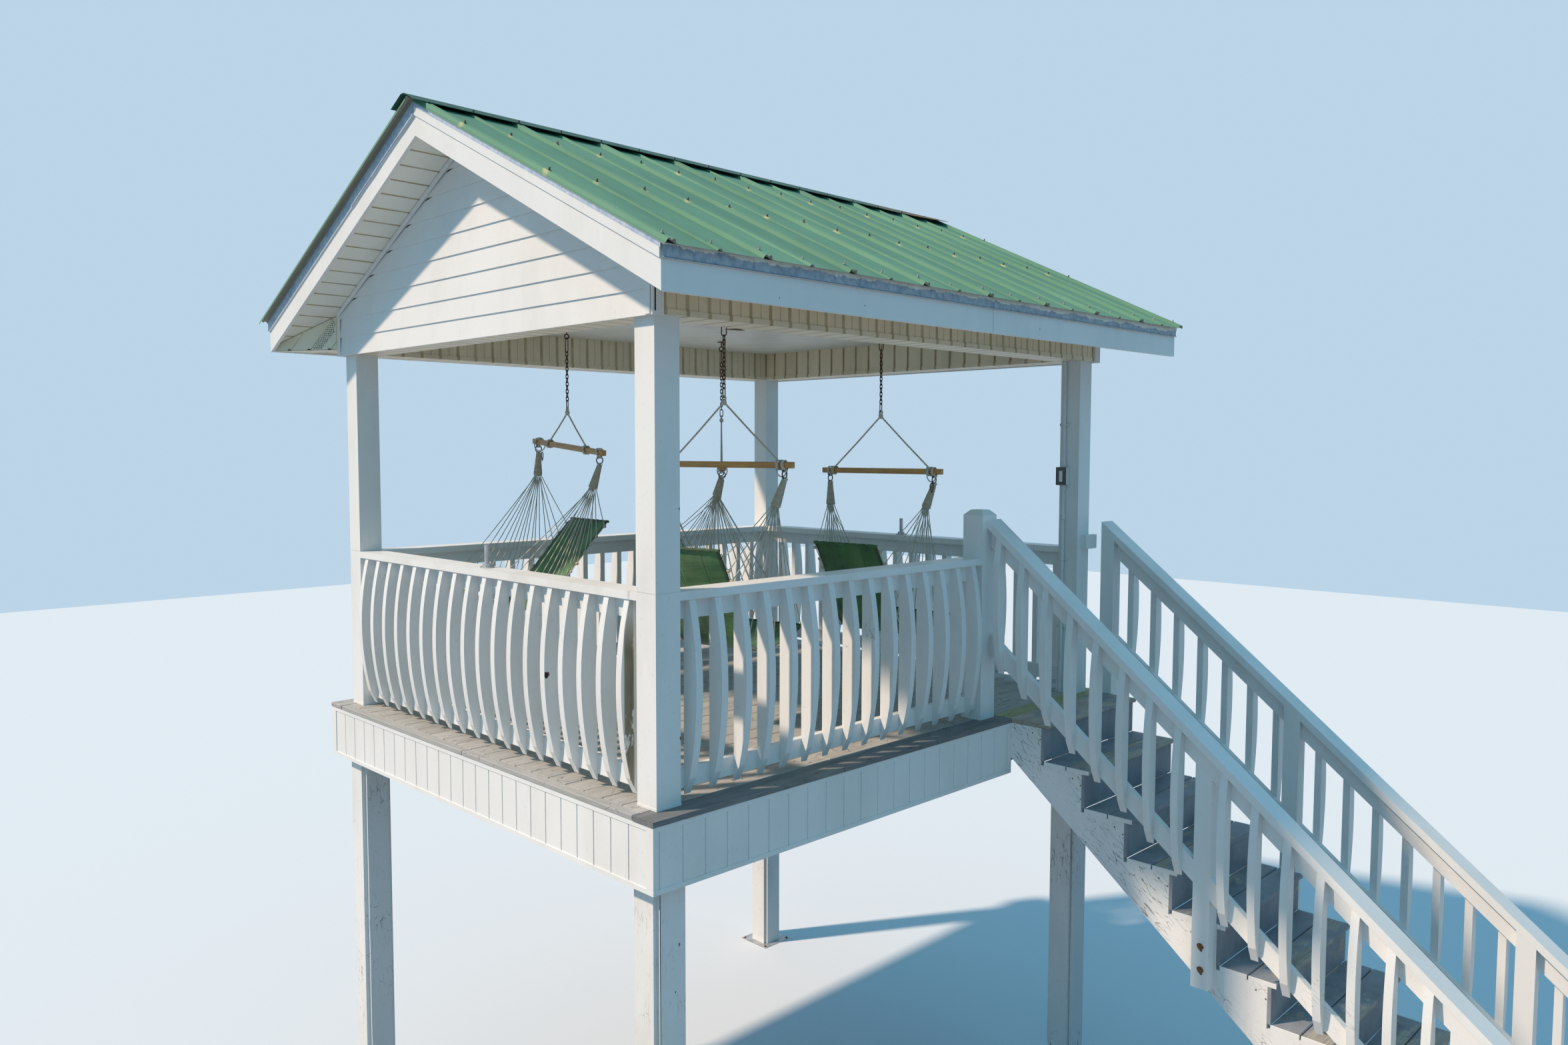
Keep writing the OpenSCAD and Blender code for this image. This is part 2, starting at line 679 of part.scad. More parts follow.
// Two boards to a tread, lying on the stringers between the risers
module stair_treads() {
    gap = step_run + nose - 2 * tread_board;
    place() color(paint_grey) translate([stair_left, 0, 0]) {
        translate([0, first_nose, -tread_t])
            cube([stair_right - stair_left, -first_nose - rim_y - 1, tread_t]);
        for (k = [1 : risers - 1], b = [0, 1])
            translate([0, nose_y(k) + b * (tread_board + gap), -k * riser_h - tread_t])
                cube([stair_right - stair_left, tread_board, tread_t]);
    }
}

// Closed risers, each standing on the tread below and under the nose of the one above
module stair_risers() place() color(paint_grey) for (k = [0 : risers - 1])
    translate([stair_left, riser_back(k) - riser_t, k == risers - 1 ? -deck_h : -(k + 1) * riser_h])
        cube([stair_right - stair_left, riser_t, riser_h - tread_t]);

// Square posts bolted to the outside of the stringers, their tops cut to the slope
module stair_post_side(y, low) {
    y0 = y - stair_post / 2;
    y1 = y + stair_post / 2;
    top = stair_rail_up - rail_t / slope_cos - hair;
    polygon([[y0, low], [y1, low], [y1, nose_line(y1) + top], [y0, nose_line(y0) + top]]);
}
module stair_posts() place() color(white) {
    for (x = [stair_left - stair_post, stair_right])
        for (y = stair_post_y)
            translate([x, 0, 0]) rotate([90, 0, 90]) linear_extrude(stair_post)
                stair_post_side(y, y == stair_post_y[2] ? -deck_h : stringer_under(y) + post_foot_up);
    translate([stair_right, 0, 0]) rotate([90, 0, 90]) linear_extrude(stair_post)
        stair_post_side(top_post_y, -board_t - top_post_foot);
    translate([hx - rail_block_in, -hy - rail_t, rail_block_z])
        cube([stair_right - hx + rail_block_in, rail_t, rail_d]);
}

// Sloping rail with its bowed pickets, drawn for the left side with the bow towards -x
module rail_band(y0, y1, low, high) polygon([[y0, nose_line(y0) + low], [y1, nose_line(y1) + low],
    [y1, nose_line(y1) + high], [y0, nose_line(y0) + high]]);
module stair_rail(cap_top_y, rails_top_y) {
    rail_v = rail_d / slope_cos;
    outer = stair_left - stair_post;
    under_cap = stair_rail_up - rail_t / slope_cos;
    picket_low = stair_bottom_rail_up - stair_picket_drop;
    past = 10;
    color(white) {
        translate([stair_left - stair_cap_out, 0, 0]) rotate([90, 0, 90]) linear_extrude(cap_w)
            rail_band(rail_end, cap_top_y, under_cap, stair_rail_up);
        for (i = [0 : len(stair_post_y) - 1]) {
            hi = i == 0 ? rails_top_y : stair_post_y[i - 1] - stair_post / 2;
            lo = stair_post_y[i] + stair_post / 2;
            n = round((hi - lo) / stair_picket_pitch);
            translate([outer, 0, 0]) rotate([90, 0, 90]) linear_extrude(rail_t) {
                rail_band(lo, hi, under_cap - rail_v, under_cap);
                rail_band(lo, hi, stair_bottom_rail_up, stair_bottom_rail_up + rail_v);
            }
            intersection() {
                for (j = [0 : n - 1]) {
                    y = hi + (lo - hi) * (j + 0.5) / n;
                    low = nose_line(y) + picket_low;
                    high = nose_line(y + picket_t / 2) + under_cap;
                    translate([outer + let_in, y, low]) rotate([0, 0, -90])
                        picket(high - low, stair_picket_mid);
                }
                translate([outer - picket_mid - past, 0, 0]) rotate([90, 0, 90])
                    linear_extrude(picket_mid + 2 * past) rail_band(lo, hi, 0, under_cap);
            }
        }
    }
}
module stair_rail_left() place() stair_rail(-hy, -hy);
module stair_rail_right() place() translate([2 * stair_mid, 0, 0]) mirror([1, 0, 0])
    stair_rail(top_post_y + stair_post / 2, top_post_y - stair_post / 2);

// Electrical conduit down the post beside the stair, with its box and couplings
module conduit() {
    pipe_r = 13;
    coupling_r = 17;
    coupling_h = 35;
    couplings = [1120, 1310, 1457];
    in_post = 100;
    box_out = 24;
    box_w = 52;
    box_h = 112;
    box_z = couplings[2] - box_h;
    place() color(white) translate([hx - post_w - coupling_r, -hy + in_post, 0]) {
        cylinder(r = pipe_r, h = beam_z);
        translate([-box_out, -box_w / 2, box_z]) cube([box_out + coupling_r, box_w, box_h]);
        for (z = couplings) translate([0, 0, z]) cylinder(r = coupling_r, h = coupling_h);
    }
}

// Short pipes with flanges on the caps of the side rails
flange_r = 38;
flange_t = 6;
socket_r = 24;
socket_h = 22;
stub_r = 13;
stub_h = 120;
module pipe_stubs() place() color(metal) for (s = [-1, 1]) translate([s * px, 0, rail_h]) {
    cylinder(r = flange_r, h = flange_t);
    cylinder(r = socket_r, h = socket_h);
    cylinder(r = stub_r, h = stub_h);
}

// Eyes in the ceiling that the chairs hang from
module ceiling_hooks() place() color(rusty)
    for (c = [chair_front_left, chair_front_right, chair_back_left, chair_back_right])
        translate([c[0], c[1], 0]) rotate([0, 0, c[2]]) {
            translate([0, 0, ceiling_z - eye_plate_t]) cylinder(r = eye_plate_r, h = eye_plate_t);
            translate([0, 0, eye_z + eye_r])
                cylinder(r = eye_wire, h = eye_drop - eye_plate_t - eye_r);
            translate([0, 0, eye_z]) wire_ring(eye_r, eye_wire);
        }

// Frame of a chair: the bar lies along x and the chair faces y, turned to the chair's own facing
module chair_frame(c) place() translate([c[0], c[1], 0]) rotate([0, 0, c[2] - 90]) children();

// Heights of the chain's links, from the eye down to the rope
function chain_links(c) = floor((chain_top() - c[4] - loop_r * 2 - knot_r - end_link_l) / small_pitch());
function small_pitch() = small_link_l - 4 * wire_r - link_gap;
function chain_top() = pivot_z + wire_r - big_link_l + 4 * wire_r + link_gap;
module chair_chain(c) {
    n = chain_links(c);
    last_top = chain_top() - n * small_pitch();
    chair_frame(c) color(rusty) {
        translate([0, 0, pivot_z + wire_r - big_link_l / 2]) link(big_link_l, big_link_w, wire_r);
        for (i = [0 : n - 1])
            translate([0, 0, chain_top() - i * small_pitch() - small_link_l / 2])
                rotate([0, 0, i % 2 == 0 ? 90 : 0]) link(small_link_l, small_link_w, wire_r);
        translate([0, 0, last_top - end_link_l / 2]) rotate([0, 0, n % 2 == 0 ? 90 : 0])
            link(end_link_l, end_link_w, wire_r);
        for (s = [-1, 1])
            translate([s * bar_end, 0, ring_z(c, s)]) rotate([0, 0, 90])
                wire_ring(ring_r, ring_wire);
    }
}

// Square spreader bar
module chair_bar(c) chair_frame(c) color(honey)
    translate([0, 0, c[3]]) rotate([0, -c[6], 0]) cube([bar_len, bar_side, bar_side], center = true);

// Ropes of a chair: the loop and the V above the bar, the wraps on it, and a fan at each end
module chair_ropes(c) {
    n = chain_links(c);
    end_low = chain_top() - n * small_pitch() - end_link_l;
    loop_z = end_low + 2 * wire_r + rope_r + link_gap - loop_r;
    knot_z = loop_z - loop_r - knot_r + knot_up;
    chair_frame(c) color(rope_tan) {
        translate([0, 0, loop_z]) rotate([0, 0, n % 2 == 0 ? 0 : 90]) wire_ring(loop_r, rope_r);
        translate([0, 0, knot_z]) sphere(r = knot_r, $fn = 32);
        difference() {
            for (s = [-1, 1])
                strut([0, 0, knot_z], [s * bar_len * c[5], 0, bar_z(c, s * bar_len * c[5])], v_rope_r);
            translate([0, 0, c[3]]) rotate([0, -c[6], 0])
                cube([bar_len, 2 * bar_side, bar_side], center = true);
        }
        for (s = [-1, 1]) {
            translate([0, 0, c[3]]) rotate([0, -c[6], 0])
                translate([s * bar_end - wrap_w / 2, 0, 0]) rotate([90, 0, 90])
                    linear_extrude(wrap_w) difference() {
                        square(bar_side + 2 * wrap_t, center = true);
                        square(bar_side, center = true);
                    }
            chair_fan(c, s);
        }
    }
}

// One fan: a wrapped head under the ring and ropes spread to the side of the sling
module chair_fan(c, s) {
    top = [s * bar_end, 0, ring_z(c, s) - ring_r - ring_wire - head_gap];
    meet = hang(c, head_aim);
    aim = [s * sling_w / 2, meet[0], meet[1] + head_aim_up];
    down = (aim - top) / norm(aim - top);
    edge = s * (sling_w / 2 - tie_in);
    above = sling_t / 2 + fan_r;
    translate(top) rotate([0, acos(down[2]), atan2(down[1], down[0])])
        cylinder(r1 = head_r0, r2 = head_r1, h = head_l, $fn = 32);
    for (i = [0 : fan_ropes - 1]) {
        u = i / (fan_ropes - 1);
        t = sling_start + u * (sling_end - sling_start);
        p = hang(c, t);
        q = bezier_dir(c[7], t);
        strut(top + down * (head_l - head_in) + [s * ((i % 3) - 1) * fan_side, (u - 0.5) * fan_spread, 0],
            [edge, p[0] - q[1] * above, p[1] + q[0] * above], fan_r);
    }
}

// Sling seat, its side drawn as the curve given a thickness
function sling_edge(c, t, up) =
    let (p = hang(c, t), q = bezier_dir(c[7], t), d = up * sling_t / 2)
    [p[0] - q[1] * d, p[1] + q[0] * d];
module chair_sling(c) {
    steps = 16;
    chair_frame(c) color(cloth_green) translate([-sling_w / 2, 0, 0]) rotate([90, 0, 90])
        linear_extrude(sling_w) polygon(concat(
            [for (i = [0 : steps]) sling_edge(c, i / steps, 1)],
            [for (i = [steps : -1 : 0]) sling_edge(c, i / steps, -1)]));
}

module chair_front_left_chain() chair_chain(chair_front_left);
module chair_front_left_bar() chair_bar(chair_front_left);
module chair_front_left_ropes() chair_ropes(chair_front_left);
module chair_front_left_sling() chair_sling(chair_front_left);
module chair_front_right_chain() chair_chain(chair_front_right);
module chair_front_right_bar() chair_bar(chair_front_right);
module chair_front_right_ropes() chair_ropes(chair_front_right);
module chair_front_right_sling() chair_sling(chair_front_right);
module chair_back_left_chain() chair_chain(chair_back_left);
module chair_back_left_bar() chair_bar(chair_back_left);
module chair_back_left_ropes() chair_ropes(chair_back_left);
module chair_back_left_sling() chair_sling(chair_back_left);
module chair_back_right_chain() chair_chain(chair_back_right);
module chair_back_right_bar() chair_bar(chair_back_right);
module chair_back_right_ropes() chair_ropes(chair_back_right);
module chair_back_right_sling() chair_sling(chair_back_right);

leg_front_left();
leg_front_right();
leg_back_left();
leg_back_right();
foot_plates();
deck_frame();
deck_boards();
skirt_front();
skirt_back();
skirt_left();
skirt_right();
post_front_left();
post_front_right();
post_back_left();
post_back_right();
beam_front();
beam_back();
beam_left();
beam_right();
ceiling();
gable_left();
gable_right();
roof_frame();
roof_front();
roof_back();
ridge_cap();
eave_fascias();
rake_fascias();
soffits();
railing_front();
railing_back();
railing_left();
railing_right();
newel();
stringers();
stair_treads();
stair_risers();
stair_posts();
stair_rail_left();
stair_rail_right();
conduit();
pipe_stubs();
ceiling_hooks();
chair_front_left_chain();
chair_front_left_bar();
chair_front_left_ropes();
chair_front_left_sling();
chair_front_right_chain();
chair_front_right_bar();
chair_front_right_ropes();
chair_front_right_sling();
chair_back_left_chain();
chair_back_left_bar();
chair_back_left_ropes();
chair_back_left_sling();
chair_back_right_chain();
chair_back_right_bar();
chair_back_right_ropes();
chair_back_right_sling();
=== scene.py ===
"""Roofed lookout deck on tall legs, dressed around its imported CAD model."""
import math
import random

import bmesh
import bpy
from mathutils import Matrix, Vector


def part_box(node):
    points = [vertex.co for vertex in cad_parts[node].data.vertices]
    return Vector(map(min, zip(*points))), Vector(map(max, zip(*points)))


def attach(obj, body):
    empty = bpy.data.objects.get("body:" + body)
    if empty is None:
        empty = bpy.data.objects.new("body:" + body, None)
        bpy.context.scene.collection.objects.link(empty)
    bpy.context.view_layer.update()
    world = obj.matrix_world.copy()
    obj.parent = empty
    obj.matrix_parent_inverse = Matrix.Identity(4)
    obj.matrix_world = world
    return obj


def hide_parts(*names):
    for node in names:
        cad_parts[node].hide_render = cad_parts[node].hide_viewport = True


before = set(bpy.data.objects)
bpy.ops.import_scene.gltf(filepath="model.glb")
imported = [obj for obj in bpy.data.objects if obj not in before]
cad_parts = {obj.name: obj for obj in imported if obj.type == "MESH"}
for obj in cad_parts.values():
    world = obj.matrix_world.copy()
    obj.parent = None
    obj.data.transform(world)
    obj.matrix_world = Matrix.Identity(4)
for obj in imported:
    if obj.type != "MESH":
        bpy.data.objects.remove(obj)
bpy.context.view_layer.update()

# The deck's own origin: middle of the boards, at their top. Sizes below are in millimetres from it
boards_low, boards_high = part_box("deck_boards")
DECK = Vector(((boards_low.x + boards_high.x) / 2, (boards_low.y + boards_high.y) / 2, boards_high.z))
MM = 0.001
SIDES = ((-1, "front"), (1, "back"))

POST_X = 1773
POST_Y = 1500
POST_W = 136
LEG_X = POST_X - 68
LEG_Y = POST_Y - 68
GROUND = -2556
BEAM_X = 1798
BEAM_Y = 1525
BEAM_Z = 2130
CEILING_Z = 2333
CEILING_HOLE = (165, 115)
PEAK = 3258
RISE = 0.479
PITCH = math.atan(RISE)
SOFFIT_DROP = 150
ROOF_X = 2064
ROOF_Y = 1911
SKIN_RAKE = 15
SKIN_OVER = 40
SHEATH = 30
PAN = 8
RIB_H = 18
NARROW_RIB_H = 10
RIB_FOOT = 28
RIB_PITCH = 258
ROW_Y = (447, 1138, 1890)
CAP_LEG = 120
CAP_PAST = 65
EDGE_FOLD = 7
EAVE_FOOT = 2158
BAND_LOW = 2280
LOWER_SEAMS = (90,)
UPPER_SEAMS = (-1594, 841)
SIDING_Z = 2124
COURSE = 110
CORNER_TRIM_Z = (2126, 2370)
VENT_FOOT = 2165
RAIL_TOP = 944
PICKET_HOLE = (-1800, -701, 488)
SKIRT_X = 1868
SKIRT_Y = 1595
BOARD_T = 25
BOARD_W = 140
STEP_RISE = 213
STEP_RUN = 263
NOSE = 24
NOSE_Y = -1839
STAIR_LEFT = 783
STAIR_RIGHT = 1810
STAIR_SLOPE = math.atan(STEP_RISE / STEP_RUN)
STAIR_POST_W = 89
MID_POST_BOLTS = ((-2803, -954), (-2806, -1075))
LOW_POSTS_Y = (-3983, -4592)

# The conduit's couplings and clamps by their lower edges, and its box from foot to top
COUPLINGS_Z = (1120, 1310, 1457)
CLAMPS_Z = (420, 860, 1720)
BOX_Z = (1342, 1458)

# Wide rib, where two sheets lap, and narrow rib: across and up
WIDE_RIB = ((-28, 0), (-25, 1.5), (-19.5, 15), (-17, 18), (-6.5, 18), (-3.5, 15), (0, 9),
            (3.5, 15), (6.5, 18), (17, 18), (19.5, 15), (25, 1.5), (28, 0))
NARROW_RIB = ((-14, 0), (-12, 1.2), (-9, 8.6), (-7, 10), (7, 10), (9, 8.6), (12, 1.2), (14, 0))

# Head radius and height, washer radius and height
ROOF_SCREW = (4.2, 12, 7, 3)
BOLT = (10, 16, 16, 3)
STRINGER_NAIL = (4, 2, 4.5, 1)
PLATE_SCREW = (7, 8, 11, 2)
FLANGE_SCREW = (4, 3, 4.5, 1)
FASCIA_NAIL = (2.5, 1.2, 3, 0.6)

# Side of a sling as a curve of four control points, forward and up from the middle of the bar
SITTING = ((-370, -440), (-70, -857), (-290, -1180), (455, -932))
RECLINED = ((-157, -480), (100, -700), (350, -1260), (770, -860))

# Hanging chairs: hook x and y, facing, height of the bar, spread of the V, tilt, side of the sling
CHAIRS = {
    "front_left": (-630, -660, 12, 1483, 0.40, 0, SITTING),
    "front_right": (640, -700, 5, 1435, 0.40, 0, SITTING),
    "back_left": (-630, 840, 175, 1581, 0.26, 5, RECLINED),
    "back_right": (650, 800, -41, 1440, 0.40, 0, SITTING),
}
SPRING_HOOKS = ("back_left", "front_right")
BAR_LEN = 900
BAR_SIDE = 34
BAR_END = 395
RING_DROP = 48.5
RING_OUT = 25.5
RING_R = 22
HEAD_GAP = 1.4
HEAD_L = 152
HEAD_R0 = 16
HEAD_R1 = 29
HEAD_TURNS = 28
HEAD_AIM = 0.35
HEAD_AIM_UP = 60
ROPE_R = 6.2
LASHING_R = 4.4
FAN_R = 3.8
WRAP_R = 3.0
EDGE_R = 3.6
SLING_W = 470
CLOTH_UP = 7
CLOTH_SAG = 21
TIES = 16
SLING_ROWS = 56
SLING_COLS = 25

# Cream of the vinyl, given extra red and yellow as painted warm bounce light from below, with a second darker
# cream for random variation
CREAM_WITH_BOUNCE = (0.88, 0.78, 0.58)
DARKER_CREAM_WITH_BOUNCE = (0.82, 0.70, 0.50)


def at(x, y, z):
    """A point given in millimetres from the middle of the deck, in the frame's metres."""
    return DECK + Vector((x, y, z)) * MM


def camera():
    """Camera at the photograph's viewing angle."""
    data = bpy.data.cameras.new("photo_camera")
    data.sensor_width = 36
    data.lens = 25.95
    cam = bpy.data.objects.new("photo_camera", data)
    bpy.context.scene.collection.objects.link(cam)
    cam.location = DECK + Vector((-4.760, -5.281, 1.558))
    heading = Matrix.Rotation(math.radians(45.176 - 90), 4, "Z")
    lift = Matrix.Rotation(math.radians(90 - 3.628), 4, "X")
    roll = Matrix.Rotation(math.radians(0.115), 4, "Z")
    cam.rotation_euler = (heading @ lift @ roll).to_euler()
    bpy.context.scene.camera = cam


class Value:
    """A socket of a tree that can take part in sums."""

    def __init__(self, nodes, socket):
        self.nodes = nodes
        self.socket = socket

    def __add__(self, other):
        return self.nodes.math("ADD", self, other)

    def __sub__(self, other):
        return self.nodes.math("SUBTRACT", self, other)

    def __rsub__(self, other):
        return self.nodes.math("SUBTRACT", other, self)

    def __mul__(self, other):
        return self.nodes.math("MULTIPLY", self, other)

    def __truediv__(self, other):
        return self.nodes.math("DIVIDE", self, other)

    def __abs__(self):
        return self.nodes.math("ABSOLUTE", self)


class Nodes:
    """Nodes of a tree, added and joined with few words."""

    def __init__(self, tree):
        self.tree = tree

    def put(self, socket, value):
        if isinstance(value, Value):
            self.tree.links.new(value.socket, socket)
        elif value is not None:
            if socket.type == "RGBA" and len(value) == 3:
                value = (*value, 1)
            socket.default_value = value

    def add(self, kind, **given):
        """A node, with sockets given by names that start with a capital and settings by the others."""
        node = self.tree.nodes.new(kind)
        for key, value in given.items():
            if key[0].isupper():
                self.put(node.inputs[key.replace("_", " ")], value)
            else:
                setattr(node, key, value)
        return node

    def get(self, kind, out=0, **given):
        return Value(self, self.add(kind, **given).outputs[out])

    def math(self, kind, a, b=None, clamp=False):
        node = self.add("ShaderNodeMath", operation=kind, use_clamp=clamp)
        self.put(node.inputs[0], a)
        self.put(node.inputs[1], b)
        return Value(self, node.outputs[0])

    def noise(self, vector, scale, detail=3.0, rough=0.5):
        return self.get("ShaderNodeTexNoise", Vector=vector, Scale=scale, Detail=detail, Roughness=rough)

    def spread(self, value, low, high, out_low=0.0, out_high=1.0):
        node = self.add("ShaderNodeMapRange", clamp=True)
        for socket, given in zip(node.inputs, (value, low, high, out_low, out_high)):
            self.put(socket, given)
        return Value(self, node.outputs[0])

    def mix(self, share, a, b):
        node = self.add("ShaderNodeMix", data_type="RGBA", Factor=share)
        self.put(node.inputs[6], a)
        self.put(node.inputs[7], b)
        return Value(self, node.outputs[2])

    def lay(self, vector, size=(1, 1, 1), place=(0, 0, 0), angle=(0, 0, 0)):
        return self.get("ShaderNodeMapping", Vector=vector, Scale=size, Location=place, Rotation=angle)

    def axes(self, vector):
        return [Value(self, s) for s in self.add("ShaderNodeSeparateXYZ", Vector=vector).outputs]

    def call(self, group, **values):
        made = [Value(self, s) for s in self.add("ShaderNodeGroup", node_tree=group, **values).outputs]
        return made if len(made) > 1 else made[0]

    def past_line(self, place, pitch):
        """How far a place is past the nearest of lines at an even pitch."""
        turn = place / pitch
        return (turn - self.math("ROUND", turn)) * pitch

    def chance(self, low, high, seed):
        node = self.add("FunctionNodeRandomValue", data_type="FLOAT", Seed=seed)
        self.put(node.inputs[2], low)
        self.put(node.inputs[3], high)
        return Value(self, node.outputs[1])

    def tube(self, curve, section):
        tube = self.get("GeometryNodeCurveToMesh", Curve=curve, Profile_Curve=section, Fill_Caps=True)
        return self.get("GeometryNodeSetShadeSmooth", Geometry=tube)


def new_tree(name, kind, inputs, outputs):
    """A tree with named inputs and outputs, its nodes, its inputs' values and its end."""
    tree = bpy.data.node_groups.new(name, kind)
    for label, value in inputs.items():
        form = value if isinstance(value, str) else "Vector" if isinstance(value, tuple) else "Float"
        label = label.replace("_", " ")
        socket = tree.interface.new_socket(label, in_out="INPUT", socket_type="NodeSocket" + form)
        if not isinstance(value, str):
            socket.default_value = value
    for label, form in outputs.items():
        tree.interface.new_socket(label, in_out="OUTPUT", socket_type="NodeSocket" + form)
    n = Nodes(tree)
    given = [Value(n, s) for s in n.add("NodeGroupInput").outputs if s.name]
    return tree, n, given, n.add("NodeGroupOutput")


def effect(name, outputs=None, **inputs):
    """A shader group, its inside made by the function below."""
    def build(make):
        tree, n, given, end = new_tree(name, "ShaderNodeTree", inputs, outputs or {"Mask": "Float"})
        for socket, value in zip(end.inputs, make(n, *given)):
            n.put(socket, value)
        return tree
    return build


@effect("wood_grain", Vector="Vector", Scale=120.0)
def GRAIN(n, vector, scale):
    """Long lines along the vector's x."""
    lines = n.noise(n.lay(vector, size=(0.05, 1, 1)), scale, 5.0, 0.62)
    bands = n.noise(n.lay(vector, size=(0.1, 1, 1)), scale * 0.12, 2.0)
    return [n.spread(lines * 0.65 + bands * 0.35, 0.34, 0.66)]


@effect("grain_cracks", Vector="Vector", Scale=45.0, Amount=0.5, Width=0.05)
def CRACKS(n, vector, scale, amount, width):
    """Short splits along the grain, gathered in patches."""
    laid = n.lay(vector, size=(0.22, 1, 1))
    edge = n.get("ShaderNodeTexVoronoi", "Distance", feature="DISTANCE_TO_EDGE", Vector=laid, Scale=scale)
    near = n.spread(edge, 0.0, width, 1.0, 0.0)
    torn = n.spread(n.noise(laid, scale * 1.7, 2.0), 0.44, 0.58)
    patch = n.noise(vector, 2.6, 2.0)
    gather = n.math("MULTIPLY", patch - (1.0 - amount) * 0.72, 6.0, True)
    return [near * torn * gather]


@effect("old_dirt", Vector="Vector", Scale=3.0, Amount=0.4)
def DIRT(n, vector, scale, amount):
    """Soft clouds that run a little downwards, with fine specks."""
    soft = n.spread(n.noise(n.lay(vector, size=(1, 1, 0.35)), scale, 5.0, 0.6), 0.48, 0.72)
    specks = n.spread(n.noise(vector, scale * 18.0, 2.0), 0.64, 0.72)
    return [n.math("MULTIPLY", soft + specks * 0.6, amount, True)]


@effect("peeled_coat", Vector="Vector", Scale=7.0, Amount=0.3)
def PEEL(n, vector, scale, amount):
    """Ragged patches where the coat has gone."""
    big = n.noise(n.lay(vector, size=(0.5, 1, 1)), scale, 8.0, 0.66)
    return [n.math("MULTIPLY", big - (0.78 - amount * 0.34), 28.0, True)]


@effect("pitch_lines", Place=0.0, Pitch=0.124, Start=0.0, Width=0.01)
def PITCH_LINES(n, place, pitch, start, width):
    """Lines at an even pitch, such as grooves that hold dirt."""
    away = abs(n.past_line(place - start, pitch))
    return [n.spread(away, width * 0.35, width * 0.65, 1.0, 0.0)]


@effect("rust", {"Mask": "Float", "Tint": "Color"}, Vector="Vector", Scale=30.0, Amount=0.5)
def RUST(n, vector, scale, amount):
    """Deep brown to ochre, broken up by two noises."""
    rough = n.noise(vector, scale, 7.0, 0.7)
    shade = n.spread(n.noise(vector, scale * 3.0, 3.0), 0.35, 0.65)
    tint = n.mix(shade, (0.10, 0.042, 0.018), (0.36, 0.17, 0.06))
    return [n.math("MULTIPLY", rough - (0.74 - amount * 0.5), 9.0, True), tint]


@effect("cloth_weave", Vector="Vector", Threads=420.0)
def WEAVE(n, vector, threads):
    """Threads both ways on the cloth's own map."""
    u, v, w = n.axes(vector)
    around = threads * (2 * math.pi)
    return [n.math("SINE", u * around) * n.math("SINE", v * around) * 0.5 + 0.5]


class Look(Nodes):
    """A material, its plain values set straight on its shader."""

    def __init__(self, name, rough=0.5, metal=0.0):
        self.material = bpy.data.materials.new(name)
        self.material.use_nodes = True
        super().__init__(self.material.node_tree)
        self.shader = self.tree.nodes["Principled BSDF"]
        self.set(Roughness=rough, Metallic=metal)
        self.place = self.get("ShaderNodeTexCoord", "Object")

    def set(self, **values):
        for key, value in values.items():
            self.put(self.shader.inputs[key.replace("_", " ")], value)

    def deck(self):
        """Metres from the middle of the deck, as x, y and z."""
        return self.axes(self.lay(self.place, place=tuple(-DECK)))

    def along(self, way):
        """The place laid so that the grain's x runs one way."""
        if way == "stair":
            return self.lay(self.lay(self.place, angle=(-STAIR_SLOPE, 0, 0)), angle=(0, 0, math.pi / 2))
        turns = {"x": (0, 0, 0), "y": (0, 0, math.pi / 2), "z": (0, math.pi / 2, 0)}
        return self.lay(self.place, angle=turns[way])

    def clouds(self, a, b, scale, detail=3.0, low=0.3, high=0.7):
        """Two colours mixed by a soft noise."""
        return self.mix(self.spread(self.noise(self.place, scale, detail), low, high), a, b)

    def done(self, colour, height, strength, distance=0.001):
        bump = self.get("ShaderNodeBump", Strength=strength, Distance=distance, Height=height)
        self.set(Base_Color=colour, Normal=bump)
        return self.material


def white_paint(name, along="z", cracks=0.0, dirt=0.35, bare=0.0, white=(0.84, 0.845, 0.83), peeled=None,
                painted_lap_shade=False):
    """Old white paint with grime, open grain and cracks, bare at one upright, with painted shade under the
    siding laps.
    """
    n = Look(name)
    laid = n.along(along)
    grime = n.call(DIRT, Vector=n.place, Amount=dirt)
    tone = n.clouds(white, [c * 0.955 for c in white], 1.3, 2.0)
    colour = n.mix(grime, tone, (0.60, 0.585, 0.53))
    height = n.call(GRAIN, Vector=laid, Scale=150.0)
    if bare > 0:
        gone = n.call(PEEL, Vector=laid, Amount=bare)
        colour = n.mix(gone, colour, n.mix(height, (0.30, 0.27, 0.22), (0.50, 0.47, 0.40)))
        height = height - gone * 1.5
    if cracks > 0:
        split = n.call(CRACKS, Vector=laid, Amount=cracks)
        colour = n.mix(split, colour, (0.055, 0.05, 0.045))
        height = height - split * 4.0
    x, y, z = n.deck()
    # painted shade: a grey line just under each siding lap, where the lap's lower edge shades the course
    # below
    if painted_lap_shade:
        under = n.call(PITCH_LINES, Place=z, Pitch=COURSE * MM, Start=(SIDING_Z - 2) * MM, Width=0.007)
        colour = n.mix(under * 0.55, colour, (0.33, 0.34, 0.31))
    if peeled:
        near_x = n.spread(abs(x - peeled[0] * MM), 0.022, 0.030, 1.0, 0.0)
        near_y = n.spread(abs(y - peeled[1] * MM), 0.006, 0.009, 1.0, 0.0)
        gone = n.call(PEEL, Vector=laid, Scale=9.0, Amount=1.1) * (near_x * near_y)
        wood = n.mix(height, (0.12, 0.115, 0.07), (0.30, 0.27, 0.19))
        colour = n.mix(gone * n.spread(z, 0.68, 0.86, 1.0, 0.35), colour, wood)
    n.set(Roughness=n.spread(grime, 0.0, 1.0, 0.42, 0.67))
    return n.done(colour, height, 0.22 + 0.3 * cracks, 0.0012)


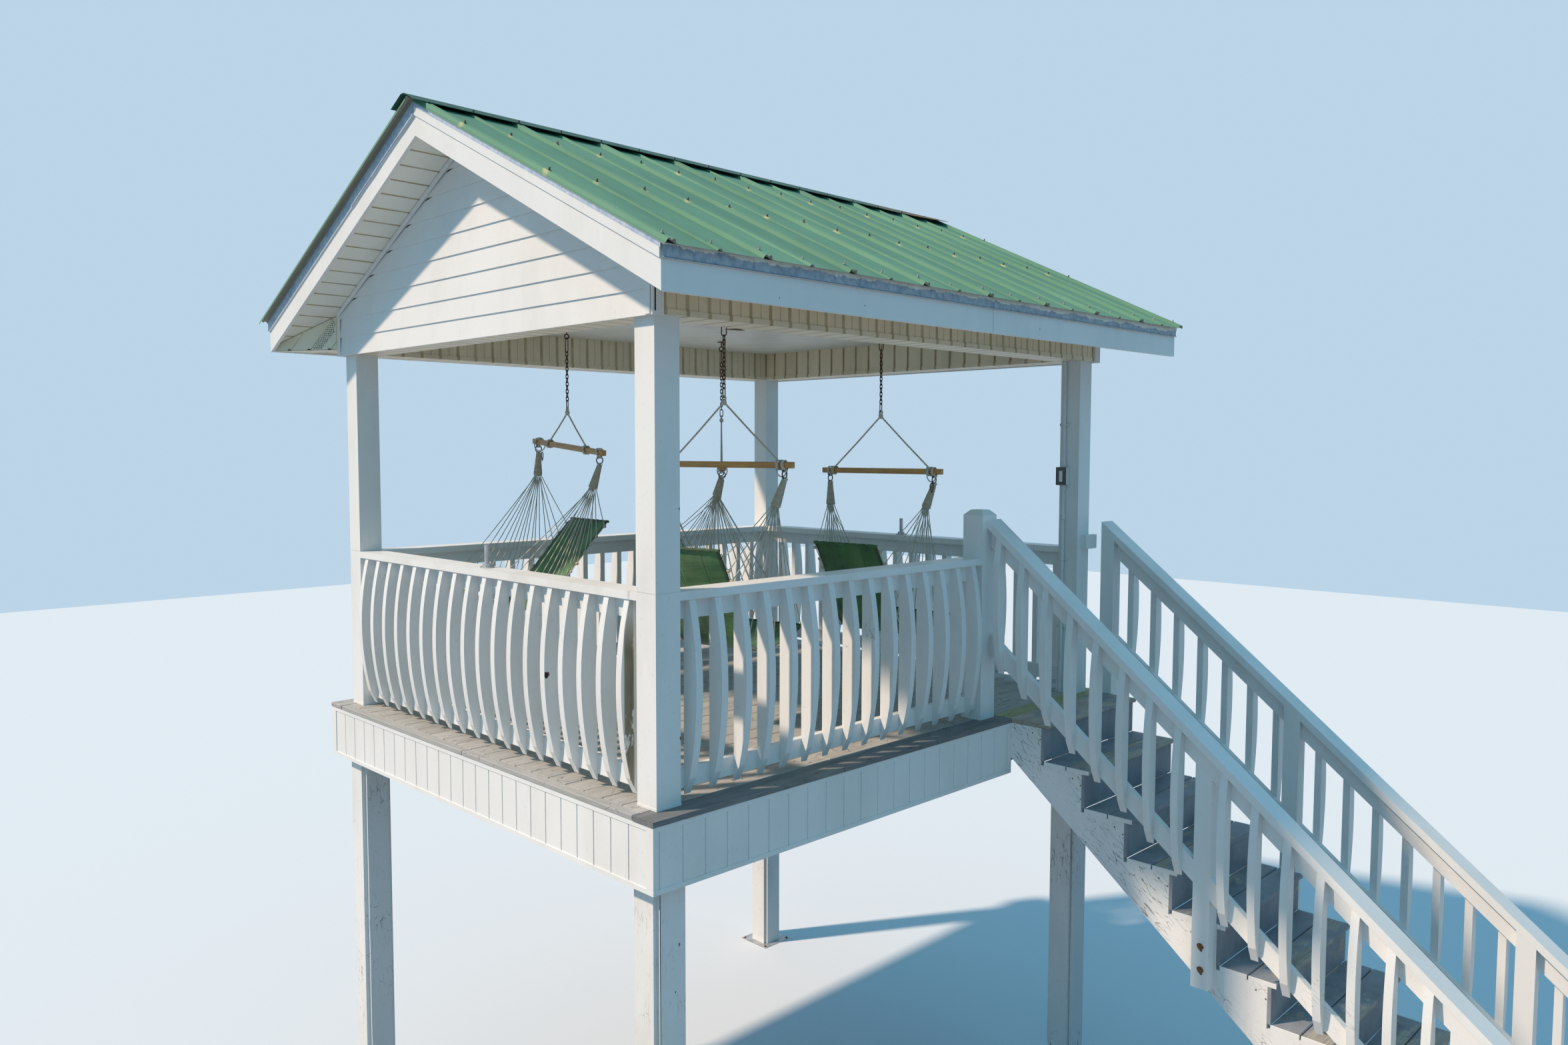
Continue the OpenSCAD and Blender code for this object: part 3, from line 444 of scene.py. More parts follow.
def cream_vinyl(name, axis):
    """Cream cladding whose upright grooves hold brown dirt, along x or y, its cream warmed beyond its own
    colour as painted bounce light.
    """
    n = Look(name, 0.46)
    x, y, z = n.deck()
    lines = n.call(PITCH_LINES, Place=x if axis == "x" else y, Width=0.020)
    grime = n.call(DIRT, Vector=n.place, Scale=4.0, Amount=0.35)
    colour = n.mix(grime, n.clouds(CREAM_WITH_BOUNCE, DARKER_CREAM_WITH_BOUNCE, 2.2, 3.0, 0.35, 0.65), (0.47, 0.42, 0.30))
    streak = lines * n.spread(n.noise(n.place, 9.0), 0.3, 0.6, 0.6, 0.95)
    return n.done(n.mix(streak, colour, (0.42, 0.32, 0.17)), n.noise(n.place, 60.0), 0.08)


def soffit_vinyl(name):
    """Cream panels under the eaves and lighter ones under the rakes, their grooves across the slope; the rake
    panels are lighter partly in their own colour and partly as painted bounce light from below.
    """
    n = Look(name, 0.46)
    x, y, z = n.deck()
    rake = n.math("GREATER_THAN", abs(x), (BEAM_X + 13) * MM)
    across = n.call(PITCH_LINES, Place=abs(y) / math.cos(PITCH), Width=0.013)
    upright = n.call(PITCH_LINES, Place=x, Width=0.015)
    cloud = n.spread(n.noise(n.place, 2.2), 0.35, 0.65)
    # rake panels: off-white of their own, raised further as painted bounce light from below
    rake_cream_with_bounce = n.mix(cloud, (0.90, 0.89, 0.80), (0.87, 0.855, 0.75))
    panels = n.mix(rake, n.mix(cloud, CREAM_WITH_BOUNCE, DARKER_CREAM_WITH_BOUNCE), rake_cream_with_bounce)
    colour = n.mix(n.call(DIRT, Vector=n.place, Scale=4.0, Amount=0.3), panels, (0.66, 0.62, 0.49))
    streak = n.mix(rake, upright, across) * n.spread(n.noise(n.place, 9.0), 0.3, 0.6, 0.45, 0.85)
    return n.done(n.mix(streak, colour, (0.50, 0.41, 0.24)), n.noise(n.place, 60.0), 0.08)


def bare_wood(name, along, light=(0.47, 0.465, 0.44), dark=(0.28, 0.278, 0.265), toned=True, cracks=0.46):
    """Softwood gone grey, each board a little different by its tone."""
    n = Look(name, 0.82)
    laid = n.along(along)
    if toned:
        own = n.get("ShaderNodeAttribute", "Fac", attribute_name="tone")
        laid = n.lay(laid, place=n.get("ShaderNodeCombineXYZ", Y=own * 7.0))
    lines = n.call(GRAIN, Vector=laid, Scale=150.0)
    splits = n.call(CRACKS, Vector=laid, Scale=30.0, Amount=cracks, Width=0.03)
    green = n.spread(n.noise(n.place, 1.7), 0.5, 0.75, 0.0, 0.25)
    colour = n.mix(green, n.mix(lines, dark, light), (0.36, 0.37, 0.27))
    if toned:
        colour = n.mix(own * 0.3, colour, (0.56, 0.555, 0.53))
    colour = n.mix(splits, colour, (0.035, 0.03, 0.025))
    return n.done(colour, lines - splits * 3.0, 0.55, 0.0016)


def stair_paint(name):
    """Blue-grey paint over wood, worn through where feet land."""
    n = Look(name, 0.6)
    laid = n.along("x")
    own = n.get("ShaderNodeAttribute", "Fac", attribute_name="tone")
    lines = n.call(GRAIN, Vector=laid, Scale=130.0)
    wood = n.mix(lines, (0.25, 0.22, 0.18), (0.52, 0.48, 0.40))
    coat = n.clouds((0.20, 0.225, 0.26), (0.30, 0.325, 0.36), 5.0)
    worn = n.call(PEEL, Vector=laid, Scale=6.0, Amount=own * 0.5 + 0.5)
    dirt = n.call(DIRT, Vector=n.place, Scale=8.0, Amount=0.4)
    colour = n.mix(dirt, n.mix(worn, coat, wood), (0.13, 0.125, 0.12))
    return n.done(colour, lines - worn, 0.4, 0.0012)


def roof_coat(name, light, dark, rust_amount=0.0):
    """Faded coating on ribbed metal with drips under the screws, grey beneath, and rust at the far end."""
    n = Look(name)
    n.set(Specular_IOR_Level=0.12)
    fade = n.spread(n.noise(n.lay(n.place, size=(1, 0.25, 0.25)), 3.2, 5.0, 0.6), 0.32, 0.68)
    chalk = n.spread(n.noise(n.lay(n.place, size=(4, 0.35, 0.35)), 9.0, 5.0), 0.56, 0.78, 0.0, 0.30)
    smudge = n.spread(n.noise(n.lay(n.place, size=(1.6, 0.8, 0.8)), 3.6, 6.0, 0.72), 0.60, 0.74, 0.0, 0.34)
    colour = n.mix(chalk, n.mix(fade, dark, light), (0.24, 0.43, 0.34))
    colour = n.mix(smudge, colour, (0.045, 0.10, 0.085))
    x, y, z = n.deck()
    dx = n.past_line(x, RIB_PITCH * MM)
    long = n.math("MINIMUM", *[abs(abs(y) - (row + 14) * MM) for row in ROW_Y[:2]]) * 0.62
    away = n.math("SQRT", dx * dx + long * long)
    wobble = (n.noise(n.place, 30.0, 4.0) - 0.5) * 0.026
    colour = n.mix(n.spread(away + wobble, 0.005, 0.019, 0.9, 0.0), colour, (0.52, 0.50, 0.27))
    if rust_amount:
        rust, tint = n.call(RUST, Vector=n.place, Scale=14.0, Amount=rust_amount)
        colour = n.mix(rust * n.spread(x, 1.1, 2.0), colour, tint)
    else:
        facing = n.axes(n.get("ShaderNodeTexCoord", "Normal"))[2]
        backs = n.mix(fade, (0.42, 0.43, 0.355), (0.52, 0.53, 0.45))
        colour = n.mix(n.math("LESS_THAN", facing, 0.02), colour, backs)
    n.set(Roughness=n.spread(chalk, 0.0, 0.3, 0.56, 0.68))
    return n.done(colour, n.noise(n.lay(n.place, size=(1, 0.4, 0.4)), 6.0), 0.12, 0.004)


def zinc(name):
    """Dull galvanised steel with rust blooms."""
    n = Look(name, metal=0.55)
    cell = n.get("ShaderNodeTexVoronoi", "Distance", Vector=n.place, Scale=140.0)
    grey = n.clouds((0.36, 0.385, 0.40), (0.56, 0.575, 0.58), 18.0, 4.0)
    rust, tint = n.call(RUST, Vector=n.place, Scale=26.0, Amount=0.15)
    n.set(Metallic=n.spread(rust, 0.0, 1.0, 0.55, 0.05), Roughness=n.spread(cell, 0.0, 1.0, 0.42, 0.62))
    return n.done(n.mix(rust, grey, tint), n.noise(n.place, 90.0), 0.1)


def drip_metal(name):
    """Zinc drip edge whose white coat has flaked off from below, mottled where it is bare, the bare zinc
    tinted blue as a painted reflection of the sky.
    """
    n = Look(name, metal=0.15)
    x, y, z = n.deck()
    eave = n.math("GREATER_THAN", abs(y), (ROOF_Y + 7) * MM)
    ragged = (n.noise(n.place, 9.0, 7.0, 0.72) - 0.5) * 0.075
    coated = n.spread(z - (x * -0.004 + 2.318) + ragged, -0.001, 0.001)
    scraps = n.spread(n.noise(n.place, 34.0, 5.0, 0.7), 0.60, 0.63, 0.0, 0.8)
    pale = n.clouds((0.80, 0.79, 0.72), (0.70, 0.68, 0.58), 25.0, 4.0, 0.4)
    shade = n.spread(n.noise(n.place, 30.0, 6.0, 0.65), 0.35, 0.62)
    # bare zinc: grey mottling with a blue tint that is a painted reflection of the sky, lighter and bluer on
    # the rakes
    bare = n.mix(shade, (0.21, 0.29, 0.38), (0.40, 0.48, 0.54))
    rake_zinc_sky_reflection = n.mix(shade, (0.30, 0.42, 0.58), (0.56, 0.64, 0.72))
    cover = n.mix(eave, n.mix(scraps, rake_zinc_sky_reflection, (0.74, 0.73, 0.66)), n.mix(coated, bare, pale))
    return n.done(cover, coated + scraps, 0.3)


def rust_coat(name, amount=0.9, coat=(0.30, 0.27, 0.21), rough=0.8, metal=0.15, scale=55.0,
              bump=(200.0, 0.4, 0.001)):
    """A dull coat on steel, broken by rust."""
    n = Look(name, rough, metal)
    rust, tint = n.call(RUST, Vector=n.place, Scale=scale, Amount=amount)
    return n.done(n.mix(rust, coat, tint), n.noise(n.place, bump[0]), *bump[1:])


def honey_wood(name, turn):
    """Varnished hardwood, its grain along the bar."""
    n = Look(name, 0.32)
    n.set(Coat_Weight=0.12)
    lines = n.call(GRAIN, Vector=n.lay(n.place, angle=(0, 0, -turn)), Scale=190.0)
    colour = n.mix(lines, (0.36, 0.145, 0.024), (0.66, 0.335, 0.062))
    dull = n.spread(n.noise(n.place, 11.0, 4.0), 0.55, 0.78, 0.0, 0.45)
    return n.done(n.mix(dull, colour, (0.34, 0.235, 0.12)), lines, 0.1)


def rope_yarn(name, light, dark):
    """Twisted fibre, greyer where it is worn."""
    n = Look(name, 0.9)
    n.set(Sheen_Weight=0.15)
    fibre = n.noise(n.place, 620.0, 3.0, 0.6)
    worn = n.spread(n.noise(n.place, 14.0), 0.4, 0.7)
    colour = n.mix(n.spread(fibre, 0.3, 0.7), dark, light)
    return n.done(n.mix(worn * 0.4, colour, (0.50, 0.475, 0.42)), fibre, 0.5, 0.0006)


def green_canvas(name, light=(0.085, 0.245, 0.075), dark=(0.02, 0.085, 0.03)):
    """Faded woven cloth with sewn channels along it, and painted shade darkening the channels at its sides.
    """
    n = Look(name, 0.82)
    n.set(Sheen_Weight=0.25)
    uv = n.get("ShaderNodeUVMap", uv_map="cloth")
    u, v, w = n.axes(uv)
    threads = n.call(WEAVE, Vector=uv)
    colour = n.clouds(dark, light, 4.5, 4.0, 0.32, 0.68)
    colour = n.mix(n.call(DIRT, Vector=n.place, Scale=9.0, Amount=0.3), colour, (0.20, 0.25, 0.14))
    seam = n.call(PITCH_LINES, Place=u, Pitch=0.173, Width=0.008)
    colour = n.mix(seam * 0.45, colour, (0.012, 0.05, 0.018))
    # painted shade: the channels at the sides, where the lacing and the fold shade the cloth, darkened in its
    # colour
    channel = n.spread(abs(u - SLING_W * MM / 2), 0.208, 0.214, 0.0, 0.7)
    colour = n.mix(channel, colour, (0.030, 0.045, 0.022))
    pucker = n.noise(n.lay(uv, size=(3, 22, 1)), 3.0, 4.0)
    return n.done(colour, pucker * 5.0 - seam * 3.0 + threads * 0.3, 0.35, 0.0016)


def mottled(name, dark, light, rough=0.95, scale=90.0):
    """Two tones broken up by a noise."""
    n = Look(name, rough)
    shade = n.spread(n.noise(n.place, scale), 0.3, 0.7)
    return n.done(n.mix(shade, dark, light), shade, 0.08)


class Parts:
    """Points and faces gathered into one object, with a tone for each part."""

    def __init__(self):
        self.points = []
        self.faces = []
        self.tones = []

    def add(self, points, faces, tone=0.5):
        start = len(self.points)
        self.points += [Vector(p) for p in points]
        self.faces += [[start + k for k in face] for face in faces]
        self.tones += [tone] * len(points)

    def add_moved(self, points, faces, tone, move):
        self.add([at(*(move(p) if move else p)) for p in points], faces, tone)

    def box(self, low, high, cut=2.0, tone=0.5, move=None):
        """A box in deck millimetres with its edges cut at 45 degrees."""
        points = []
        index = {}
        corners = [(a, b, c) for a in (0, 1) for b in (0, 1) for c in (0, 1)]
        for corner in corners:
            for axis in range(3):
                index[corner, axis] = len(points)
                points.append(Vector([(low, high)[corner[k]][k] + (k != axis) * (-cut if corner[k] else cut)
                                      for k in range(3)]))
        faces = []
        for axis in range(3):
            u, v = [k for k in range(3) if k != axis]

            def corner_at(level, a, b):
                c = [0, 0, 0]
                c[axis], c[u], c[v] = level, a, b
                return tuple(c)

            for side in (0, 1):
                faces.append([index[corner_at(side, *ab), axis] for ab in ((0, 0), (1, 0), (1, 1), (0, 1))])
            for a in (0, 1):
                for b in (0, 1):
                    c0, c1 = corner_at(0, a, b), corner_at(1, a, b)
                    faces.append([index[c0, u], index[c1, u], index[c1, v], index[c0, v]])
        faces += [[index[c, 0], index[c, 1], index[c, 2]] for c in corners]
        self.add_moved(points, faces, tone, move)

    def prism(self, outline, axis, low, high, tone=0.5, move=None):
        """An outline in the plane across an axis, drawn out from low to high along it."""
        count = len(outline)
        points = []
        for level in (low, high):
            for a, b in outline:
                p = [a, b]
                p.insert(axis, level)
                points.append(Vector(p))
        faces = [list(range(count)), list(range(count, 2 * count))]
        faces += [[k, (k + 1) % count, (k + 1) % count + count, k + count] for k in range(count)]
        self.add_moved(points, faces, tone, move)

    def make(self, name, material, slot, body="tower", replaces=(), smooth=False):
        mesh = bpy.data.meshes.new(name)
        mesh.from_pydata(self.points, [], self.faces)
        tone = mesh.attributes.new("tone", "FLOAT", "POINT")
        tone.data.foreach_set("value", self.tones)
        return settle(name, mesh, material, body, replaces, smooth)


def settle(name, mesh, material, body="tower", replaces=(), smooth=False, outward=True):
    """Puts a mesh into the scene as a piece that rides on a body."""
    if outward:
        bm = bmesh.new()
        bm.from_mesh(mesh)
        bmesh.ops.recalc_face_normals(bm, faces=bm.faces)
        bm.to_mesh(mesh)
        bm.free()
    mesh.materials.clear()
    mesh.materials.append(material)
    for polygon in mesh.polygons:
        polygon.use_smooth = smooth
    obj = bpy.data.objects.new(name, mesh)
    bpy.context.scene.collection.objects.link(obj)
    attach(obj, body)
    if replaces:
        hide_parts(*replaces)
    return obj


def loose(mesh):
    obj = bpy.data.objects.new("source", mesh)
    bpy.context.scene.collection.objects.link(obj)
    return obj


def baked(obj):
    """The object's mesh with its modifiers applied, and the object removed."""
    bpy.context.view_layer.update()
    graph = bpy.context.evaluated_depsgraph_get()
    mesh = bpy.data.meshes.new_from_object(obj.evaluated_get(graph), depsgraph=graph)
    bpy.data.objects.remove(obj, do_unlink=True)
    return mesh


def geometry_tree(name, **inputs):
    """A tree that ends in real geometry with its material set, its inside made by the function below."""
    def build(make):
        inputs_all = {"Geometry": "Geometry", **inputs, "Material": "Material"}
        tree, n, given, end = new_tree(name, "GeometryNodeTree", inputs_all, {"Geometry": "Geometry"})
        real = n.get("GeometryNodeRealizeInstances", Geometry=make(n, *given[:-1]))
        n.put(end.inputs[0], n.get("GeometryNodeSetMaterial", Geometry=real, Material=given[-1]))
        return tree
    return build


def run_tree(tree, mesh, **values):
    obj = loose(mesh)
    modifier = obj.modifiers.new("tree", "NODES")
    modifier.node_group = tree
    ids = {s.name: s.identifier for s in tree.interface.items_tree if s.in_out == "INPUT"}
    for key, value in values.items():
        modifier[ids[key.replace("_", " ")]] = value
    return baked(obj)


@geometry_tree("screw_rows", Head_Radius=0.006, Head_Height=0.009, Washer_Radius=0.010, Washer_Height=0.003,
               Direction=(0.0, 0.0, 1.0))
def SCREWS(n, points, head_r, head_h, washer_r, washer_h, direction):
    """A head on a washer at each point, facing one way."""
    both = n.add("GeometryNodeJoinGeometry")
    n.put(both.inputs[0], n.get("GeometryNodeMeshCylinder", Vertices=12, Radius=washer_r, Depth=washer_h))
    n.put(both.inputs[0], n.get("GeometryNodeMeshCone", Vertices=6, Radius_Bottom=head_r,
                                Radius_Top=head_r * 0.82, Depth=head_h))
    aim = n.get("FunctionNodeAlignRotationToVector", axis="Z", Vector=direction)
    twist = n.get("FunctionNodeAxisAngleToRotation", Axis=(0, 0, 1), Angle=n.chance(0.0, 1.0, 7))
    turned = n.get("FunctionNodeRotateRotation", rotation_space="LOCAL", Rotation=aim, Rotate_By=twist)
    return n.get("GeometryNodeInstanceOnPoints", Points=points, Instance=Value(n, both.outputs[0]),
                 Rotation=turned)


@geometry_tree("twisted_ropes", Radius=0.003, Step=0.012, Twist=180.0)
def ROPES(n, lines, radius, step, twist):
    """Three strands twisted along each line, from a star-shaped section turned as it goes."""
    curve = n.get("GeometryNodeMeshToCurve", Mesh=lines)
    even = n.get("GeometryNodeResampleCurve", mode="LENGTH", Curve=curve, Length=step)
    run = n.get("GeometryNodeSplineParameter", "Length")
    tilt = n.get("GeometryNodeSetCurveTilt", Curve=even, Tilt=run * twist)
    star = n.get("GeometryNodeCurveStar", Points=3, Inner_Radius=radius * 0.72, Outer_Radius=radius)
    return n.tube(tilt, star)


@geometry_tree("round_tubes", Radius=0.003)
def TUBES(n, lines, radius):
    """A plain round section drawn along each line."""
    ring = n.get("GeometryNodeCurvePrimitiveCircle", Resolution=10, Radius=radius)
    return n.tube(n.get("GeometryNodeMeshToCurve", Mesh=lines), ring)


@geometry_tree("beads", Size=(0.008, 0.007, 0.007), Direction=(1.0, 0.0, 0.0))
def BEADS(n, points, size, direction):
    """Small rounded shapes at points, such as knots and perforations."""
    bead = n.get("GeometryNodeMeshIcoSphere", Subdivisions=2, Radius=1.0)
    scale = n.get("ShaderNodeVectorMath", operation="SCALE", Vector=size, Scale=n.chance(0.82, 1.15, 3))
    aim = n.get("FunctionNodeAlignRotationToVector", axis="X", Vector=direction)
    return n.get("GeometryNodeInstanceOnPoints", Points=points, Instance=bead, Rotation=aim, Scale=scale)


def spots_mesh(points):
    mesh = bpy.data.meshes.new("spots")
    mesh.from_pydata([Vector(p) for p in points], [], [])
    return mesh


def lines_mesh(paths):
    points = []
    edges = []
    for path in paths:
        start = len(points)
        points += [Vector(p) for p in path]
        edges += [(k, k + 1) for k in range(start, len(points) - 1)]
    mesh = bpy.data.meshes.new("lines")
    mesh.from_pydata(points, edges, [])
    return mesh


def screws(name, spots, direction, material, size):
    head, head_h, washer, washer_h = [v * MM for v in size]
    made = run_tree(SCREWS, spots_mesh([at(*p) for p in spots]), Head_Radius=head, Head_Height=head_h,
                    Washer_Radius=washer, Washer_Height=washer_h, Direction=direction, Material=material)
    return settle(name, made, material, outward=False)


def roof_z(y):
    return PEAK - RISE * abs(y)


def on_slope(x, down, up, side):
    """A point on a slope: side is -1 at the front and 1 at the back, down is measured along the slope."""
    return (x, side * (down * math.cos(PITCH) + up * math.sin(PITCH)),
            PEAK - down * math.sin(PITCH) + up * math.cos(PITCH))


def sheet_left(side):
    """The back slope's sheet stands out to the end of the ridge cap, the front one's stops at the rake."""
    return ROOF_X + (CAP_PAST - 15 if side > 0 else SKIN_RAKE)


def ribs(side):
    """Each rib's middle along the ridge, and whether it is a wide one, where two sheets lap."""
    half = ROOF_X + SKIN_RAKE
    count = math.floor((half - 60) / RIB_PITCH)
    inner = [(k * RIB_PITCH, k % 2 == 0) for k in range(-count, count + 1)]
    return [(RIB_FOOT - sheet_left(side), True)] + inner + [(half - RIB_FOOT, True)]


def skin_faces(rows, across):
    """Faces of a thin skin whose points are a grid, row after row, and the same grid again beneath."""
    total = across * (rows + 1)
    faces = []
    for k in range(rows):
        for j in range(across - 1):
            a = k * across + j
            faces.append([a, a + 1, a + 1 + across, a + across])
            faces.append([a + total, a + total + across, a + total + across + 1, a + total + 1])
        for a in (k * across, k * across + across - 1):
            faces.append([a, a + across, a + across + total, a + total])
    for row in (0, rows):
        for a in range(row * across, row * across + across - 1):
            faces.append([a, a + 1, a + 1 + total, a + total])
    return faces


def roof_sheet(side):
    """Ribbed sheet of one slope: a thin metal skin with open rib ends at the eave."""
    left = sheet_left(side)
    section = [(-left, -EDGE_FOLD), (-left + 0.6, 0)]
    for centre, wide in ribs(side):
        section += [(centre + across, up) for across, up in (WIDE_RIB if wide else NARROW_RIB)]
    section.append((ROOF_X + SKIN_RAKE, 0))
    section = [p for k, p in enumerate(section) if k == 0 or p[0] > section[k - 1][0] + 0.5]
    length = (ROOF_Y + SKIN_OVER) / math.cos(PITCH)
    rows = 18
    thickness = 1.4
    rng = random.Random(5 + side)
    points = []
    for layer in (0, 1):
        for k in range(rows + 1):
            for x, up in section:
                wave = 0.0 if up else rng.uniform(-0.5, 0.5) * (0 < k < rows)
                level = PAN + up + wave * (layer == 0) - layer * thickness
                points.append(at(*on_slope(x, length * k / rows, level, side)))
    parts = Parts()
    parts.add(points, skin_faces(rows, len(section)))
    return parts


def ridge_cap():
    """Ridge flashing whose far end lifts off the ribs."""
    steps = 24
    low = -ROOF_X - CAP_PAST
    points = []
    for layer in (4.0, 1.5):
        for k in range(steps + 1):
            x = low + (ROOF_X - low) * k / steps
            lift = 16 * max(0.0, (k / steps - 0.86) / 0.14) ** 2
            for across in (-CAP_LEG, -CAP_LEG * 0.5, -6, 0, 6, CAP_LEG * 0.5, CAP_LEG):
                up = PAN + RIB_H + 1.0 + layer + lift * abs(across) / CAP_LEG
                spot = on_slope(x, abs(across), up, -1 if across < 0 else 1)
                points.append(at(x, spot[1] if across else 0, spot[2]))
    cap = Parts()
    cap.add(points, skin_faces(steps, 7))
    return cap


def loose_edge(parts, x):
    """Strip of the far left rake: taller, in two lengths, its lower edge wavy and standing off a little."""
    rng = random.Random(17)
    joint = 700
    for low, high, tall, off in ((0, joint + 12, 62, 2.2), (joint, ROOF_Y + 8, 56, 0)):
        steps = 8
        outline = [(low, roof_z(low) - 1), (high, roof_z(high) - 1)]
        for k in range(steps + 1):
            y = high + (low - high) * k / steps
            outline.append((y, roof_z(y) - tall + rng.uniform(-3, 3)))
        parts.prism(outline, 0, x - 1.5 - off, x - off)


def build_roof(green, dark_green, drip, screw_metal, pale_metal, raw_ply):
    normals = {side: (0, side * math.sin(PITCH), math.cos(PITCH)) for side, name in SIDES}
    inner = ROOF_Y - 20
    for side, name in SIDES:
        roof_sheet(side).make(f"roof_sheet_{name}", green, "green_roof_metal", replaces=[f"roof_{name}"])
        under = Parts()
        under.prism([(0, PEAK - 3), (side * inner, roof_z(inner) - 3), (side * inner, roof_z(inner) - SHEATH),
                     (0, PEAK - SHEATH)], 0, -ROOF_X + 20, ROOF_X - 20)
        under.make(f"roof_sheathing_{name}", raw_ply, "weathered_wood")
        for rows, metal, label in ((ROW_Y[:2], screw_metal, "upper"), (ROW_Y[2:], pale_metal, "eave")):
            spots = [on_slope(x, row / math.cos(PITCH), PAN + (RIB_H if wide else NARROW_RIB_H) + 1, side)
                     for x, wide in ribs(side) for row in rows]
            screws(f"roof_screws_{label}_{name}", spots, normals[side], metal, ROOF_SCREW)
    ridge_cap().make("ridge_flashing", dark_green, "dark_green_metal", replaces=["ridge_cap"])
    for side, name in SIDES:
        spots = [on_slope(x, 103, PAN + RIB_H + 5, side) for x, wide in ribs(side)[1:-1]]
        screws(f"ridge_screws_{name}", spots, normals[side], screw_metal, ROOF_SCREW)
    flashing = Parts()
    face = ROOF_Y + 8
    edge = ROOF_X + 8
    top = roof_z(face) - 2
    section = ((face, top), (face + 1.5, top), (face + 1.5, BAND_LOW + 7), (face + 9, BAND_LOW + 1),
               (face + 8, BAND_LOW), (face, BAND_LOW + 5))
    for side, name in SIDES:
        for low, high in lengths_between(-ROOF_X + 1, ROOF_X - 1, UPPER_SEAMS, 0.8):
            flashing.prism([(side * y, z) for y, z in section], 0, low, high)
        for end in (-1, 1):
            if (end, side) == (-1, 1):
                loose_edge(flashing, -edge)
                continue
            outline = [(0, PEAK - 1), (side * face, roof_z(face) - 1), (side * face, roof_z(face) - 21),
                       (0, PEAK - 21)]
            flashing.prism(outline, 0, end * edge, end * (edge + 1.5))
    flashing.make("drip_edges", drip, "galvanised_metal")


def lengths_between(low, high, seams, gap=1.5):
    """The stretches that seams leave of a length, with a small gap at each."""
    cuts = [low] + [cut for seam in seams for cut in (seam - gap, seam + gap)] + [high]
    return list(zip(cuts[::2], cuts[1::2]))


def build_fascias(paint):
    boards = Parts()
    out = ROOF_Y + 8
    for side, name in SIDES:
        for seams, reach, foot, top, cut in ((LOWER_SEAMS, ROOF_Y, EAVE_FOOT, BAND_LOW, 1.5),
                                             (UPPER_SEAMS, out, BAND_LOW + 0.5, roof_z(out) - 3, 1.0)):
            near, far = sorted((side * (ROOF_Y - 20), side * reach))
            for low, high in lengths_between(-ROOF_X + 20, ROOF_X - 20, seams):
                boards.box((low, near, foot), (high, far, top), cut)
    boards.make("eave_boards", paint, "white_paint", replaces=["eave_fascias"])


def build_gable_trim(paint, dark):
    strips = Parts()
    gaps = Parts()
    wall = BEAM_X + 12
    top = PEAK - SOFFIT_DROP
    run = BEAM_Y / math.cos(PITCH)
    channel = top - 26 / math.cos(PITCH)
    for end in (-1, 1):
        for side, name in SIDES:
            def sloped(p, side=side):
                return Vector((p.x, side * (p.y * math.cos(PITCH) + p.z * math.sin(PITCH)),
                               top - p.y * math.sin(PITCH) + p.z * math.cos(PITCH)))

            near, far = sorted((end * wall, end * (wall + 12)))
            strips.box((near, 8, -24), (far, run - 6, -2), 1.5, move=sloped)
            for lap_z in range(SIDING_Z + COURSE, SIDING_Z + 9 * COURSE, COURSE):
                y = (channel - lap_z) / RISE
                if 60 < y < BEAM_Y:
                    # painted shade: thin dark wedges where each siding lap meets the corner trim, standing
                    # for the shade in the gap
                    wedge = [(side * (y - 50), lap_z), (side * y, lap_z), (side * (y + 30), lap_z - 14)]
                    gaps.prism(wedge, 0, *sorted((end * (wall - 7.2), end * (wall - 5.8))))
            x0, x1 = sorted((end * (wall - 1), end * (wall + 5)))
            y0, y1 = sorted((side * (BEAM_Y - 34), side * (BEAM_Y - 2)))
            strips.box((x0, y0, CORNER_TRIM_Z[0]), (x1, y1, CORNER_TRIM_Z[1]), 1.5)
    strips.make("gable_trim", paint, "white_paint")
    gaps.make("siding_gap_shade", dark, "white_paint")


